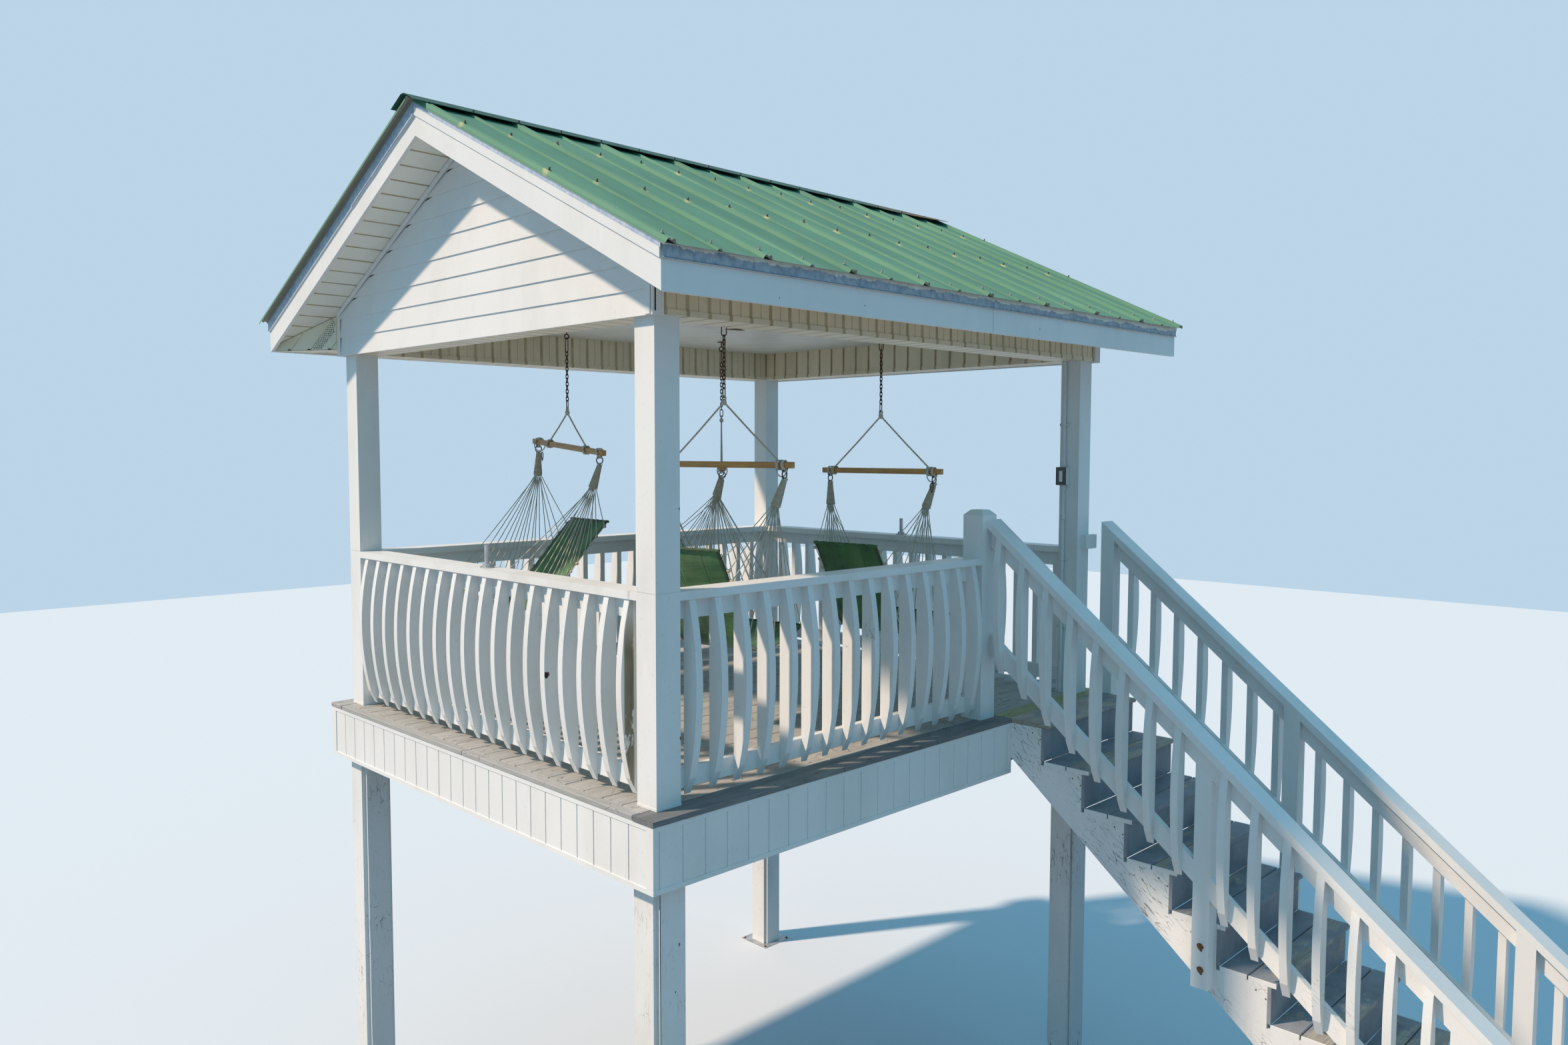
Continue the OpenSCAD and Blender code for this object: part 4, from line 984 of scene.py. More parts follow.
def build_vent(cream, dark, groove):
    """Diagonal panels that close the far corners under the rakes, ribbed and in one band perforated, with
    painted shade: tan lines beside the ribs and under the top edge, dark slivers at the rib feet and dark
    beads for the perforations.
    """
    outer = Vector((-ROOF_X + 24, ROOF_Y - 21, 0))
    inner = Vector((-BEAM_X - 14, BEAM_Y + 20, 0))
    along = (inner - outer).normalized()
    out = Vector((along.y, -along.x, 0))
    span = (inner - outer).length
    low = VENT_FOOT
    rib_rise = 1.13
    ends = (roof_z(outer.y) - SOFFIT_DROP, roof_z(inner.y) - SOFFIT_DROP)

    def top(u):
        return ends[0] + (ends[1] - ends[0]) * u / span

    panels, raised, gaps, lines = Parts(), Parts(), Parts(), Parts()
    spots = []
    for end in (-1, 1):
        def placed(p, end=end):
            q = outer + along * p.x + out * p.y
            return Vector((-end * q.x, q.y, p.z))

        panels.prism([(0, low), (span, low), (span, top(span) - 1), (0, top(0) - 1)], 1, -8, 0, move=placed)
        corner = [(-end * x, y) for x, y in ((inner.x, inner.y), (inner.x, outer.y), (outer.x, outer.y))]
        panels.prism(corner, 2, low - 1, low + 4)
        # a tan line under the panel's top edge: painted shade below the soffit
        lines.prism([(2, top(2) - 5), (span, top(span) - 5), (span, top(span) - 1), (2, top(2) - 1)],
                    1, 0.1, 0.8, move=placed)
        for foot in (95, 229, 368):
            reach = min(span - 4, foot + 172)
            if low + 3 + (reach - foot) * rib_rise > top(reach) - 8:
                reach = foot + (top(foot) - 8 - low - 3) / (rib_rise - (ends[1] - ends[0]) / span)
            z = low + 3 + (reach - foot) * rib_rise
            # the wider tan strip behind each rib is painted shade beside the rib, not dirt
            for wide, parts, near, far in ((7, raised, 0.2, 5.0), (10, lines, 0.1, 0.5)):
                parts.prism([(foot - wide, low + 3), (foot + wide, low + 3), (reach + wide * 0.7, z),
                             (reach - wide * 0.7, z)], 1, near, far, move=placed)
            # painted shade: dark slivers in the gaps at the rib feet
            gaps.prism([(foot - 14, low + 0.5), (foot + 14, low + 0.5), (foot + 9, low + 7),
                        (foot - 4, low + 9)], 1, 5.1, 5.6, move=placed)
        for row in range(15):
            for col in range(5):
                u = 262 + 13 * col + 10.5 * row
                z = low + 14 + 12 * row
                if u < span - 8 and z < top(u) - 14:
                    spots.append(at(*placed(Vector((u, 0.4, z)))))
    panels.make("corner_panels", cream, "cream_vinyl")
    raised.make("vent_ribs", cream, "cream_vinyl")
    lines.make("vent_rib_shade", groove, "cream_vinyl")
    gaps.make("vent_gap_shade", dark, "cream_vinyl")
    # painted shade: dark beads on the panel for the perforations
    holes = run_tree(BEADS, spots_mesh(spots), Size=(0.004, 0.004, 0.0026), Direction=(1, 0, 0),
                     Material=dark)
    settle("vent_hole_shade", holes, dark, outward=False)


def build_deck(wood_x, wood_y, worn, raw):
    """Boards of the deck, each a little different, with the rotten edge at the front."""
    rng = random.Random(11)
    gap = 5
    strip = 50
    out_x = SKIRT_X + 4
    out_y = SKIRT_Y + 4
    inner_x = out_x - strip - gap
    inner_y = out_y - BOARD_W - gap
    rows = math.floor((2 * inner_y + gap) / (BOARD_W + gap))
    width = (2 * inner_y + gap) / rows - gap
    boards = Parts()
    for k in range(rows):
        y = -inner_y + k * (width + gap)
        joint = (-620, 610, 0)[k % 3] + rng.uniform(-30, 30)
        for low, high in ((-inner_x, joint - 1.5), (joint + 1.5, inner_x)):
            drop = rng.uniform(0.0, 1.8)
            boards.box((low, y, -BOARD_T), (high, y + width, -drop), 3.0, rng.random())
    boards.box((-out_x, out_y - BOARD_W, -BOARD_T), (out_x, out_y, -0.5), 3.0, 0.6)
    boards.make("deck_planks", wood_x, "weathered_wood", replaces=["deck_boards"])
    inner = -out_y + BOARD_W
    right = STAIR_LEFT - 2.5
    eaten = ((-305, 0), (-322, -16), (-352, -12), (-384, -34), (-430, -26), (-468, -38), (-502, -22),
             (-548, -18), (-578, 0), (-out_x, 0))
    rotten = ((-560, -40), (-320, -40), (-330, -3), (-430, -9), (-550, -2))
    border = Parts()
    border.prism([(-out_x, -out_y), (right, -out_y), (right, inner)] + [(x, inner + y) for x, y in eaten],
                 2, -BOARD_T, -0.5, 0.25)
    border.prism([(x, inner + y) for x, y in rotten], 2, -BOARD_T, -14, 0.0)
    border.box((286, inner - 22, -0.6), (330, inner - 6, 0.6), 0.4, 0.0)
    border.make("deck_border", worn, "weathered_wood")
    head = Parts()
    head.box((STAIR_LEFT + 2.5, 24 - SKIRT_Y, -BOARD_T), (out_x, -inner_y - gap, -0.5), 3.0, 0.5)
    head.make("stair_head_board", raw, "weathered_wood")
    ends = Parts()
    for side in (-1, 1):
        near, far = sorted((side * (inner_x + gap), side * out_x))
        start = -inner_y
        while start < inner_y - 1:
            stop = min(inner_y, start + 1450)
            ends.box((near, start, -BOARD_T), (far, stop - 2, -0.3), 3.0, rng.random() * 0.6)
            start = stop
    ends.make("deck_end_strips", wood_y, "weathered_wood")


def build_stair(tread_paint, white):
    rng = random.Random(23)
    gap = STEP_RUN + NOSE - 2 * BOARD_W
    treads = Parts()
    ends = Parts()
    for k in range(1, 12):
        low = -k * STEP_RISE - BOARD_T
        for b in (0, 1):
            y = NOSE_Y - k * STEP_RUN + b * (BOARD_W + gap)
            top = -k * STEP_RISE - rng.uniform(0, 1.5)
            treads.box((STAIR_LEFT + 4, y, low), (STAIR_RIGHT - 4, y + BOARD_W, top), 4.0, rng.random())
            for x in (STAIR_LEFT, STAIR_RIGHT - 4):
                ends.box((x, y, low), (x + 4, y + BOARD_W, top), 1.0)
    treads.box((STAIR_LEFT, NOSE_Y, -BOARD_T), (STAIR_RIGHT, 23 - SKIRT_Y, -0.5), 4.0, 0.9)
    treads.make("tread_boards", tread_paint, "grey_paint", replaces=["stair_treads"])
    ends.make("tread_ends", white, "white_paint")


def around(count):
    return [2 * math.pi * k / count for k in range(count)]


def build_fixings(rusty, zinc_metal):
    """Bolts, nails and screws of the stair, foot plates and flanges, with stains round the bolts."""
    outer = STAIR_LEFT - STAIR_POST_W
    bolts = [(outer - 2, y, z) for y, z in MID_POST_BOLTS]
    for y in LOW_POSTS_Y:
        nose_line = (y - NOSE_Y) * STEP_RISE / STEP_RUN
        bolts += [(outer - 2, y, nose_line - 70), (outer - 2, y, nose_line - 140)]
    screws("stair_bolts_left", bolts, (-1, 0, 0), rusty, BOLT)
    stains = Parts()
    for x, y, z in bolts:
        stains.prism([(y + 17 * math.cos(a) * (1 + 0.25 * math.sin(3 * a)),
                       z - 6 + (19 + 6 * math.sin(2 * a)) * math.sin(a)) for a in around(18)],
                     0, outer - 0.5, outer - 0.05)
    stains.make("bolt_stains", rusty, "white_paint")
    nails = [(STAIR_LEFT - 0.3, NOSE_Y - k * STEP_RUN + y, -k * STEP_RISE - z)
             for k in range(12) for y, z in ((100, 60), (50, 90))]
    both = (-1, 1)
    plates = [(ix * LEG_X + kx * 123, iy * LEG_Y + ky * 123, GROUND + 6)
              for ix in both for iy in both for kx in both for ky in both]
    flanges = [(ix * LEG_X + 29 * math.cos(a + math.pi / 4), 29 * math.sin(a + math.pi / 4), RAIL_TOP + 7)
               for ix in both for a in around(4)]
    right = [(STAIR_RIGHT + STAIR_POST_W + 2, y, z) for x, y, z in bolts]
    screws("stair_bolts_right", right, (1, 0, 0), rusty, BOLT)
    screws("stringer_nails", nails, (-1, 0, 0), rusty, STRINGER_NAIL)
    screws("plate_screws", plates, (0, 0, 1), rusty, PLATE_SCREW)
    screws("flange_screws", flanges, (0, 0, 1), zinc_metal, FLANGE_SCREW)


def tube(centre, radius, low, high, cut):
    """Points and faces of an upright round part, cut at both rims."""
    count = 28
    rings = ((radius - cut, low), (radius, low + cut), (radius, high - cut), (radius - cut, high))
    points = [at(centre[0] + r * math.cos(a), centre[1] + r * math.sin(a), z)
              for r, z in rings for a in around(count)]
    faces = [[level + k, level + (k + 1) % count, level + (k + 1) % count + count, level + k + count]
             for level in (0, count, 2 * count) for k in range(count)]
    return points, faces + [list(range(count)), list(range(3 * count, 4 * count))]


def build_conduit(paint, grey, dark):
    x = POST_X - POST_W - 17
    y = -POST_Y + 100
    run = Parts()
    run.add(*tube((x, y), 13, 0, BEAM_Z, 1))
    for z in COUPLINGS_Z:
        run.add(*tube((x, y), 17, z, z + 35, 3))
    for z in CLAMPS_Z:
        run.add(*tube((x, y), 15, z, z + 16, 2))
        run.box((x - 4, y - 30, z), (x + 16, y + 30, z + 16), 1.5)
    low, high = BOX_Z
    run.box((x - 26, y - 38, low), (x + 17, y + 38, high), 5)
    run.make("conduit_run", grey, "white_paint", replaces=["conduit"])
    seal = Parts()
    seal.box((x - 29, y - 37, low + 1), (x - 26, y + 37, high - 1), 0.8)
    seal.make("conduit_seal", dark, "white_paint")
    cover = Parts()
    cover.box((x - 31, y - 12, low + 22), (x - 29, y + 12, high - 24), 0.8)
    cover.make("conduit_cover", paint, "white_paint")


def build_rotten_leg(paint, wood):
    """A leg whose boards have rotted away at the foot."""
    top = -BOARD_T - 235
    low = GROUND + 4
    core = Parts()
    core.box((LEG_X - 70, -LEG_Y - 70, low), (LEG_X + 70, -LEG_Y + 70, top), 3)
    core.make("leg_core", wood, "weathered_wood", replaces=["leg_front_right"])
    boards = Parts()
    rng = random.Random(31)
    for axis, through, across in ((0, LEG_X, -LEG_Y), (1, -LEG_Y, LEG_X)):
        for side in (-1, 1):
            outline = [(across - 68 + 17 * k, low + 90 + rng.uniform(18, 150)) for k in range(9)]
            outline += [(across + 68, top), (across - 68, top)]
            near, far = sorted((side * 70, side * 90))
            boards.prism(outline, axis, through + near, through + far)
    boards.make("leg_boards", paint, "white_paint")


def curve_point(side, t):
    share = ((1 - t) ** 3, 3 * t * (1 - t) ** 2, 3 * t * t * (1 - t), t ** 3)
    return Vector([sum(w * c[k] for w, c in zip(share, side)) for k in (0, 1)])


def curve_table(side, count):
    """Points spaced evenly along a sling's side, and its length."""
    fine = [curve_point(side, k / 400) for k in range(401)]
    runs = [0.0]
    for a, b in zip(fine, fine[1:]):
        runs.append(runs[-1] + (b - a).length)
    rows = []
    j = 0
    for k in range(count):
        want = runs[-1] * k / (count - 1)
        while j < 399 and runs[j + 1] < want:
            j += 1
        rows.append(fine[j].lerp(fine[j + 1], (want - runs[j]) / max(1e-6, runs[j + 1] - runs[j])))
    return rows, runs[-1]


def sling_cloth(side):
    """A sling in its bar's frame, x across and z up, hung from its ties by a cloth simulation."""
    rows, cols = SLING_ROWS, SLING_COLS
    line, length = curve_table(side, rows)
    tie_rows = [round((0.04 + 0.92 * k / (TIES - 1)) * (rows - 1)) for k in range(TIES)]
    points = []
    for r in range(rows):
        run = (line[min(r + 1, rows - 1)] - line[max(r - 1, 0)]).normalized()
        p = line[r] + Vector((-run.y, run.x)) * CLOTH_UP
        points += [Vector(((c / (cols - 1) - 0.5) * SLING_W, p.x, p.y)) * MM for c in range(cols)]
    faces = [[r * cols + c, r * cols + c + 1, (r + 1) * cols + c + 1, (r + 1) * cols + c]
             for r in range(rows - 1) for c in range(cols - 1)]
    mesh = bpy.data.meshes.new("sling")
    mesh.from_pydata(points, [], faces)
    uv = mesh.uv_layers.new(name="cloth")
    for loop in mesh.loops:
        r, c = divmod(loop.vertex_index, cols)
        uv.data[loop.index].uv = (c / (cols - 1) * SLING_W * MM, r / (rows - 1) * length * MM)
    obj = loose(mesh)
    pins = obj.vertex_groups.new(name="pins")
    for r in tie_rows:
        pins.add([r * cols, r * cols + cols - 1], 1.0, "REPLACE")
    for r, hold in ((0, 0.9), (1, 0.6), (rows - 2, 0.6), (rows - 1, 0.9)):
        pins.add(list(range(r * cols, (r + 1) * cols)), hold, "REPLACE")
    cloth = obj.modifiers.new("cloth", "CLOTH")
    cloth.settings.quality = 7
    cloth.settings.mass = 0.35
    cloth.settings.tension_stiffness = 60
    cloth.settings.compression_stiffness = 60
    cloth.settings.shear_stiffness = 30
    cloth.settings.bending_stiffness = 6
    cloth.settings.vertex_group_mass = "pins"
    cloth.settings.air_damping = 3
    cloth.point_cache.frame_start = 1
    cloth.point_cache.frame_end = 40
    for number in range(1, 33):
        bpy.context.scene.frame_set(number)
    made = baked(obj)
    bpy.context.scene.frame_set(1)
    for v, start in zip(made.vertices, points):
        moved = v.co - start
        if moved.length > CLOTH_SAG * MM:
            v.co = start + moved.normalized() * CLOTH_SAG * MM
    return {"mesh": made, "ties": tie_rows, "length": length, "meet": curve_point(side, HEAD_AIM)}


def thick_cloth(mesh, name, place, material, body):
    mesh = mesh.copy()
    mesh.transform(place)
    obj = loose(mesh)
    solid = obj.modifiers.new("wall", "SOLIDIFY")
    solid.thickness = 0.006
    solid.offset = 0
    soft = obj.modifiers.new("soft", "SUBSURF")
    soft.levels = 1
    soft.render_levels = 1
    return settle(name, baked(obj), material, body, smooth=True, outward=False)


def build_chair(name, sling, mats):
    hook_x, hook_y, facing, bar_z, spread, tilt, side_line = CHAIRS[name]
    body = f"chair_{name}"
    cloth = sling["mesh"]
    cols = SLING_COLS
    rise = math.tan(math.radians(tilt))
    place = Matrix.Translation(at(hook_x, hook_y, bar_z)) @ Matrix.Rotation(math.radians(facing - 90), 4, "Z")
    rng = random.Random(len(name) + int(hook_x) % 17)

    def spot(x, y, z):
        return place @ (Vector((x, y, z)) * MM)

    def rope(label, paths, radius, step, twist, coat, replaces=()):
        made = run_tree(ROPES, lines_mesh(paths), Radius=radius * MM, Step=step * MM, Twist=twist,
                        Material=mats[coat])
        return settle(f"{body}_{label}", made, mats[coat], body, replaces, outward=False)

    def knot(label, points, size, direction, coat):
        made = run_tree(BEADS, spots_mesh(points), Size=size, Direction=direction, Material=mats[coat])
        settle(f"{body}_{label}", made, mats[coat], body, outward=False)

    def coil(centre_x, pitch, side):
        """Two turns of rope round the square bar."""
        path = []
        for k in range(25):
            a = math.pi * k / 6
            r = (BAR_SIDE / 2 + 6) / max(abs(math.cos(a)), abs(math.sin(a)))
            x = centre_x + side * (k / 12 - 1) * pitch
            path.append(spot(x, math.cos(a) * r, x * rise + math.sin(a) * r))
        return path

    bar = Parts()
    lean = Matrix.Rotation(-math.radians(tilt), 3, "Y")
    half = Vector((BAR_LEN, BAR_SIDE, BAR_SIDE)) / 2
    bar.box(-half, half, 3.0)
    bar.points = [spot(*(lean @ ((p - DECK) / MM))) for p in bar.points]
    bar.make(f"{body}_bar_wood", mats["honey"][name], "honey_wood", body, [f"{body}_bar"])

    loop_z = (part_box(f"{body}_ropes")[1].z - DECK.z) / MM - 16 - bar_z
    knot_z = loop_z - 22
    thick = []
    pale = []
    for side in (-1, 1):
        foot_x = side * BAR_LEN * spread
        foot_z = foot_x * rise + BAR_SIDE / 2 + 3
        middle = spot(foot_x * 0.5, 0, (knot_z + foot_z) / 2 - 3)
        thick += [[spot(0, 0, knot_z), middle, spot(foot_x, 0, foot_z)], coil(foot_x, 9.5, side)]
        end = side * BAR_END
        hang_z = end * rise
        pale.append(coil(end, 9.0, side))
        if side > 0:
            pale.append([spot(end - 18 + 12 * math.cos(a), 34 * math.cos(a), hang_z - 18 + 44 * math.sin(a))
                         for a in around(20) + [2 * math.pi]])
        pale += [[spot(end + x, dy, hang_z - z) for x, z in
                  ((-15, 20), (-12, 30), (-5, 35.5), (5, 35.5), (12, 30), (15, 20))] for dy in (-6, 6)]
    thick.append([spot(11 * math.cos(a), 0, loop_z + 11 * math.sin(a)) for a in around(16) + [2 * math.pi]])
    rope("thick_ropes", thick, ROPE_R, 6, 150.0, "rope", [f"{body}_ropes"])
    rope("ring_lashings", pale, LASHING_R, 6, 150.0, "rope_pale")

    wraps = []
    fans = []
    knots = []
    edge_lines = []
    core = Parts()
    for side in (-1, 1):
        end = side * BAR_END
        ring_z = end * rise - RING_DROP
        top = Vector((end, 0, ring_z - RING_OUT - HEAD_GAP))
        aim = Vector((side * SLING_W / 2, sling["meet"].x, sling["meet"].y + HEAD_AIM_UP))
        down = (aim - top).normalized()
        across = down.cross(Vector((0, 1, 0))).normalized()
        deep = down.cross(across).normalized()

        def head_spot(run, radius, a):
            return spot(*(top + down * run + across * radius * math.cos(a) + deep * radius * math.sin(a)))

        rings = [head_spot(HEAD_L * share, HEAD_R0 + (HEAD_R1 - HEAD_R0) * share - inset, a)
                 for share, inset in ((0.02, 7), (0.05, 2), (0.5, 2), (0.96, 2), (1.0, 5))
                 for a in around(16)]
        faces = [[b + k, b + (k + 1) % 16, b + 16 + (k + 1) % 16, b + 16 + k]
                 for b in range(0, 64, 16) for k in range(16)]
        core.add(rings, faces + [list(range(16)), list(range(64, 80))])
        spiral = []
        for k in range(HEAD_TURNS * 12 + 1):
            share = k / (HEAD_TURNS * 12)
            radius = HEAD_R0 + (HEAD_R1 - HEAD_R0) * share - 1.6 + rng.uniform(-0.5, 0.2)
            spiral.append(head_spot(4 + (HEAD_L - 8) * share, radius, math.pi * k / 6))
        wraps.append(spiral)
        for dy in (-10.5, -3.5, 3.5, 10.5):
            wire_z = ring_z - math.sqrt(RING_R * RING_R - dy * dy)
            fans.append([spot(end + x, dy, wire_z + z) for x, z in
                         ((-13, -12), (-10.4, -2), (-4.55, 6), (4.55, 6), (10.4, -2), (13, -12))])
        column = 0 if side < 0 else cols - 1
        edge = [place @ cloth.vertices[r * cols + column].co for r in range(SLING_ROWS)]
        sideways = (place.to_3x3() @ Vector((side, 0, 0))).normalized()
        for k, r in enumerate(sling["ties"]):
            fan = (k / (TIES - 1) - 0.5) * 2
            leave = 150 + rng.uniform(0, 16)
            spray = (k % 3) - 1
            start = spot(*(top + down * 128 + Vector((0, fan * 17, 0)) + across * spray * 10))
            bend = spot(*(top + down * leave + Vector((0, fan * 21, 0)) + across * spray * 12))
            tie = edge[r] + sideways * 0.010
            slack = rng.uniform(0.002, 0.012)
            hang = [bend.lerp(tie, j / 8) - Vector((0, 0, slack * math.sin(math.pi * j / 8)))
                    for j in range(1, 8)]
            fans.append([start, bend] + hang + [tie])
            knots.append(tie)
        edge_lines.append([p + sideways * 0.005 for p in edge[1:-1]])
    core.make(f"{body}_fan_heads", mats["rope_dark"], "tan_rope", body, smooth=True)
    rope("fan_ropes", fans, FAN_R, 13, 190.0, "rope")
    rope("head_wraps", wraps, WRAP_R, 8, 0.0, "rope_dark")
    cords = rope("edge_ropes", edge_lines, EDGE_R, 10, 170.0, "rope")
    knot("knots", knots, (0.014, 0.009, 0.010), tuple(place.to_3x3() @ Vector((1, 0, 0))), "rope_dark")
    knot("top_knot", [spot(0, 0, knot_z)], (0.014, 0.013, 0.016), (1, 0, 0), "rope")
    if name in SPRING_HOOKS:
        middle_z = BAR_END * rise - RING_DROP - RING_R - 24
        loop = [spot(BAR_END + (12 if math.sin(a) > 0 else 9) * math.cos(a), -27, middle_z + 26 * math.sin(a))
                for a in around(24) + [2 * math.pi]]
        stem = [spot(BAR_END + 3, -27, middle_z - 26), spot(BAR_END + 1, -27, middle_z - 34)]
        made = run_tree(TUBES, lines_mesh([loop, stem]), Radius=0.003, Material=mats["iron"])
        settle(f"{body}_spring_hook", made, mats["iron"], body, outward=False)

    cover = thick_cloth(cloth, f"{body}_sling_cloth", place, mats["canvas"], body)
    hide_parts(f"{body}_sling")
    rolls = [[place @ cloth.vertices[row * cols + c].co + Vector((0, 0, 0.0015 * math.sin(c * 2.1)))
              for c in range(cols)] for row in (0, SLING_ROWS - 1)]
    made = run_tree(TUBES, lines_mesh(rolls), Radius=0.009, Material=mats["canvas"])
    uv = made.uv_layers.get("cloth") or made.uv_layers.new(name="cloth")
    for loop in made.loops:
        co = made.vertices[loop.vertex_index].co
        uv.data[loop.index].uv = (co.x, co.y + co.z)
    hem = settle(f"{body}_hems", made, mats["canvas"], body, outward=False)
    sling["length"] * MM


def build_marks(rusty, dark):
    """Dark pieces of painted shade for gaps and holes, with rust spots and nail heads, each lying on the face
    that carries it.
    """
    cx, cy = CEILING_HOLE
    # the stain is real rust; the dark hole inside it is painted shade
    for name, metal, share, low, high in (("ceiling_stain", rusty, 1, 1.6, 0.2),
                                          ("ceiling_hole_shade", dark, 0.62, 2.2, 1.5)):
        parts = Parts()
        outline = []
        for a in around(14):
            radius = (44 + 10 * math.sin(3 * a + 1)) * share
            outline.append((cx + 1.5 * radius * math.cos(a), cy + radius * math.sin(a)))
        parts.prism(outline, 2, CEILING_Z - low, CEILING_Z - high)
        parts.make(name, metal, "white_paint")

    # painted shade: thin dark sheets in the gap at the front-left corner trim and at the legs' board corners
    gaps = Parts()
    face = -BEAM_Y - 12
    gaps.box((-BEAM_X - 2, face - 0.6, 2140), (-BEAM_X + 6, face, 2248), 0.2)
    for ix, iy in ((-1, -1), (-1, 1), (1, 1)):
        x = ix * LEG_X
        near, far = sorted((iy * (LEG_Y + 90), iy * (LEG_Y + 90.6)))
        gaps.box((x + ix * 68, near, GROUND + 8), (x + ix * 71.5, far, -350), 0.15)
    gaps.make("board_gap_shade", dark, "white_paint")

    # painted shade: a dark patch on the picket's face for the hole through it
    hole = Parts()
    x, y, z = PICKET_HOLE
    ragged = ((-14, -8), (-6, -17), (3, -13), (15, 3), (9, 6), (13, 14), (2, 12), (-8, 17), (-14, 12))
    hole.prism([(x + a, z + b) for a, b in ragged], 1, y - 0.7, y - 0.1)
    hole.make("picket_hole_shade", dark, "white_paint")

    spots = Parts()
    for x, z, wide, tall in ((-1641, 1306, 3, 7), (-1640, 300, 3, 9), (-1668, -612, 4, 9),
                             (-1660, -1150, 3, 12), (-1690, -820, 3, 6)):
        y = -POST_Y if z > 0 else -LEG_Y - 90
        spots.prism([(x + wide * math.cos(a) * (1 if a < 3.2 else 0.7), z + tall * math.sin(a))
                     for a in around(10)], 1, y - 0.6, y - 0.05)
    spots.make("rust_spots", rusty, "white_paint")
    nails = [(x, -ROOF_Y - 0.2, z) for x, z in ((-902, 2207), (-1440, 2190), (520, 2212))]
    screws("fascia_nails", nails, (0, -1, 0), rusty, FASCIA_NAIL)


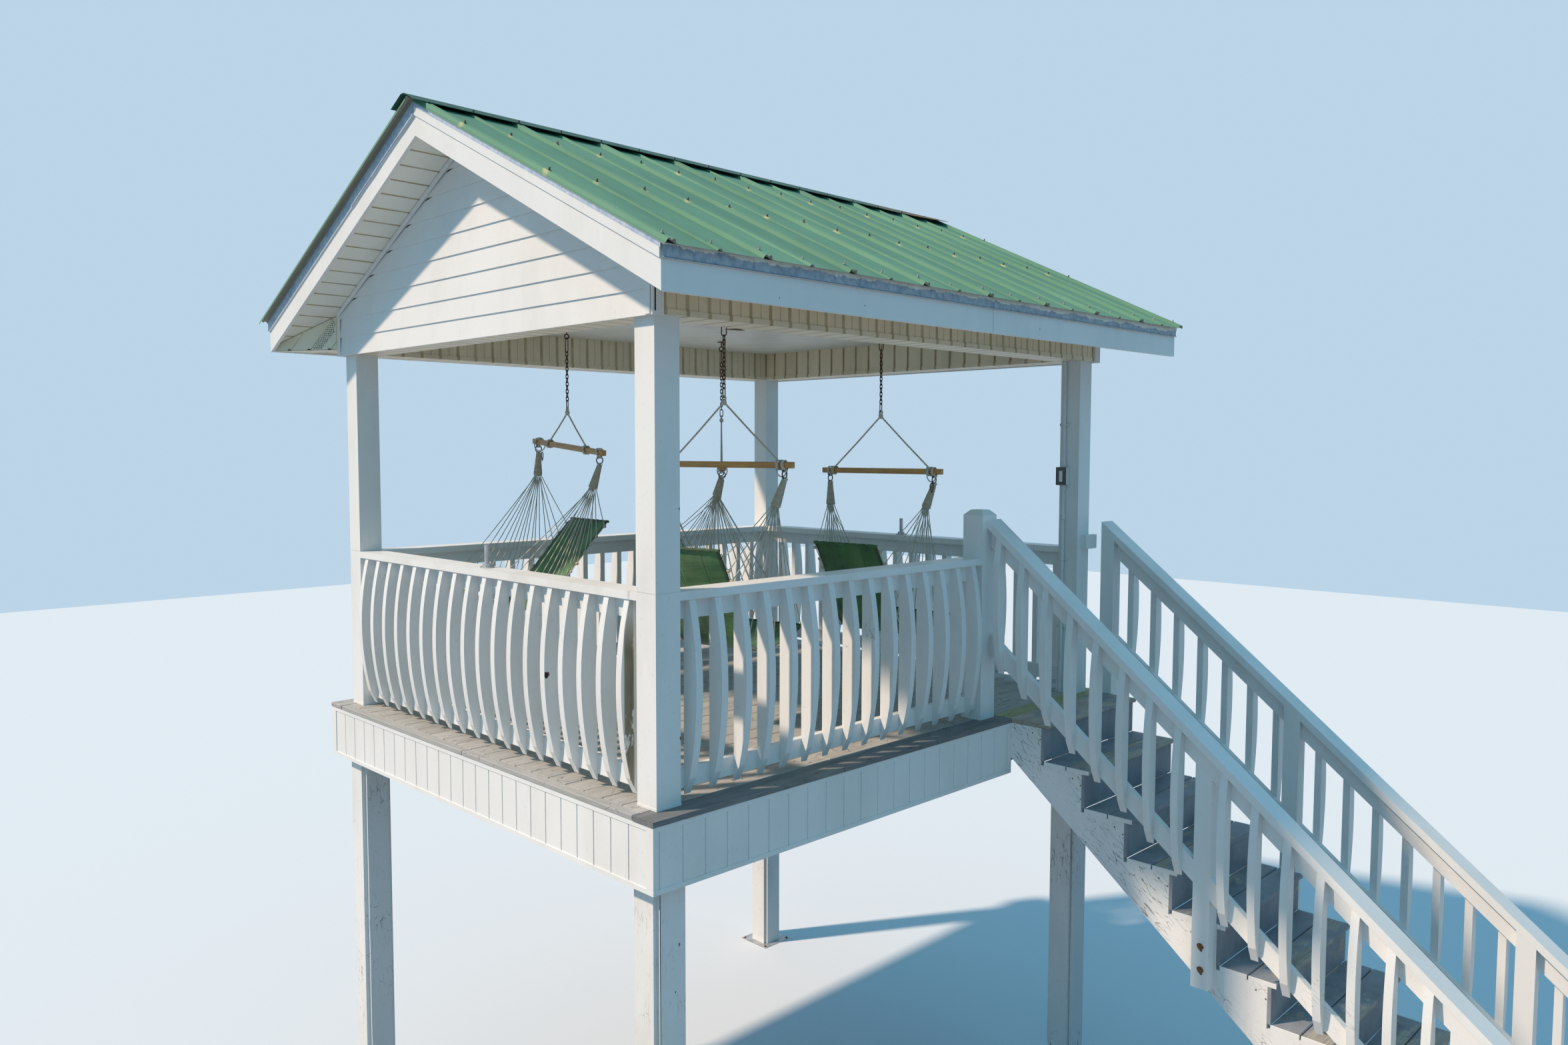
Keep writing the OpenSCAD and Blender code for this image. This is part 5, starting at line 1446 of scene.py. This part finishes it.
def main():
    camera()
    body_paint = white_paint("white_smooth", "z", dirt=0.30)
    post_paint = white_paint("white_posts", "z", dirt=0.32)
    rail_paint = white_paint("white_railing", "z", cracks=0.09, dirt=0.38, peeled=(-POST_X + 2, -1310))
    stair_white = white_paint("white_stair_rails", "stair", cracks=0.05, dirt=0.36)
    board_paint = white_paint("white_boards", "x", dirt=0.32)
    leg_paint = white_paint("white_legs", "z", cracks=0.30, dirt=0.5, bare=0.10)
    beam_x = cream_vinyl("cream_long", "x")
    beam_y = cream_vinyl("cream_cross", "y")
    frame_wood = bare_wood("frame_wood", "x", toned=False)
    dark_green = roof_coat("ridge_green", (0.06, 0.155, 0.12), (0.03, 0.085, 0.075), rust_amount=0.7)
    galvanised = zinc("galvanised")
    rusty = rust_coat("rusty_steel")
    chain = rust_coat("old_chain", 0.50, (0.028, 0.024, 0.022), 0.7, 0.4, 160.0, (500.0, 0.3, 0.0006))
    # painted shade: near-black for thin pieces that stand in the shade of gaps and holes
    shade_black = mottled("painted_shade_void", (0.012, 0.011, 0.010), (0.05, 0.045, 0.04))
    tread_paint = stair_paint("worn_grey")

    finishes = {
        "beam_front": beam_x, "beam_back": beam_x, "beam_left": beam_y, "beam_right": beam_y,
        "soffits": soffit_vinyl("soffit_panels"),
        "ceiling": white_paint("white_ceiling", "x", dirt=0.45, white=(0.80, 0.785, 0.69)),
        "deck_frame": frame_wood, "roof_frame": frame_wood,
        "stringers": white_paint("white_stringers", "stair", cracks=0.48, dirt=0.42, bare=0.05),
        "foot_plates": galvanised, "pipe_stubs": galvanised, "stair_risers": tread_paint,
        "gables": white_paint("white_siding", "y", dirt=0.28, painted_lap_shade=True), "ridge_cap": dark_green,
    }
    starts = {"leg_": leg_paint, "post_": post_paint, "railing_": rail_paint, "newel": rail_paint,
              "stair_posts": stair_white, "stair_rail": stair_white, "ceiling_hooks": chain}
    for name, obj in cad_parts.items():
        coats = [coat for start, coat in starts.items() if name.startswith(start)]
        coats += [chain] * name.endswith("_chain") + [body_paint]
        obj.data.materials.clear()
        obj.data.materials.append(finishes.get(name, coats[0]))

    build_roof(roof_coat("roof_green", light=(0.150, 0.335, 0.215), dark=(0.105, 0.245, 0.165)), dark_green,
               drip_metal("drip_flashing"), rust_coat("screw_steel", 0.5, (0.06, 0.075, 0.055)),
               rust_coat("eave_screw_steel", 0.36, (0.40, 0.40, 0.37)), frame_wood)
    build_fascias(board_paint)
    build_gable_trim(board_paint, shade_black)
    build_vent(mottled("cream_panel", (0.78, 0.73, 0.55), (0.86, 0.82, 0.66), 0.5, 7.0), shade_black,
               mottled("tan_rib_shade", (0.33, 0.27, 0.17), (0.48, 0.41, 0.28), 0.8, 30.0))
    build_deck(bare_wood("weathered_long", "x"),
               bare_wood("weathered_cross", "y", (0.45, 0.455, 0.45), (0.31, 0.315, 0.31), cracks=0.3),
               bare_wood("worn_border", "x", (0.20, 0.21, 0.22), (0.08, 0.085, 0.09)),
               bare_wood("raw_board", "x", (0.42, 0.41, 0.16), (0.25, 0.245, 0.10)))
    build_stair(tread_paint, body_paint)
    build_fixings(rusty, galvanised)
    build_conduit(post_paint, mottled("grey_pipe", (0.60, 0.61, 0.60), (0.70, 0.71, 0.69), 0.5, 12.0),
                  mottled("grey_seal", (0.10, 0.085, 0.085), (0.17, 0.14, 0.14), 0.7, 40.0))
    build_rotten_leg(leg_paint, frame_wood)
    build_marks(rusty, shade_black)
    paints = {"canvas": green_canvas("green_canvas"), "iron": chain,
              "rope": rope_yarn("tan_rope", (0.78, 0.73, 0.62), (0.50, 0.45, 0.36)),
              "rope_pale": rope_yarn("pale_rope", (0.80, 0.79, 0.74), (0.56, 0.55, 0.51)),
              "rope_dark": rope_yarn("wrapped_rope", (0.66, 0.57, 0.43), (0.42, 0.345, 0.24)),
              "honey": {k: honey_wood(f"honey_{k}", math.radians(v[2] - 90)) for k, v in CHAIRS.items()}}
    slings = {side: sling_cloth(side) for side in (SITTING, RECLINED)}
    for name, chair in CHAIRS.items():
        build_chair(name, slings[chair[6]], paints)


def seen_ray(n):
    """1 for rays from the camera, from gloss or through glass, where the pale background shows."""
    rays = [Value(n, n.add("ShaderNodeLightPath").outputs[f"Is {kind} Ray"])
            for kind in ("Camera", "Glossy", "Transmission")]
    return n.math("MAXIMUM", n.math("MAXIMUM", *rays[:2]), rays[2])


def studio():
    """Plain pale floor, low warm sunlight from the left and the soft blue light of an open sky."""
    bpy.ops.mesh.primitive_plane_add(size=60)
    floor = bpy.context.object
    floor.name = "floor"
    n = Look("floor_pale", 0.9)
    n.set(Base_Color=n.mix(seen_ray(n), (0.25, 0.27, 0.30), (0.72, 0.76, 0.80)))
    floor.data.materials.append(n.material)
    world = bpy.data.worlds.new("studio")
    bpy.context.scene.world = world
    world.use_nodes = True
    n = Nodes(world.node_tree)
    light = world.node_tree.nodes["Background"]
    light.inputs["Color"].default_value = (0.29, 0.70, 1.0, 1)
    light.inputs["Strength"].default_value = 0.585
    seen = n.get("ShaderNodeBackground", Color=(0.50, 0.66, 0.80))
    pick = n.add("ShaderNodeMixShader")
    for socket, value in zip(pick.inputs, (seen_ray(n), Value(n, light.outputs[0]), seen)):
        n.put(socket, value)
    n.put(world.node_tree.nodes["World Output"].inputs["Surface"], Value(n, pick.outputs[0]))
    sun = bpy.data.lights.new("daylight", "SUN")
    sun.energy = 3.9
    sun.angle = 0.05
    sun.color = (1.0, 0.785, 0.61)
    lamp = bpy.data.objects.new("daylight", sun)
    bpy.context.scene.collection.objects.link(lamp)
    lamp.rotation_euler = Vector((-1, 0.58, 1.12)).to_track_quat("Z", "Y").to_euler()
    bpy.context.scene.view_settings.view_transform = "Standard"


main()
studio()
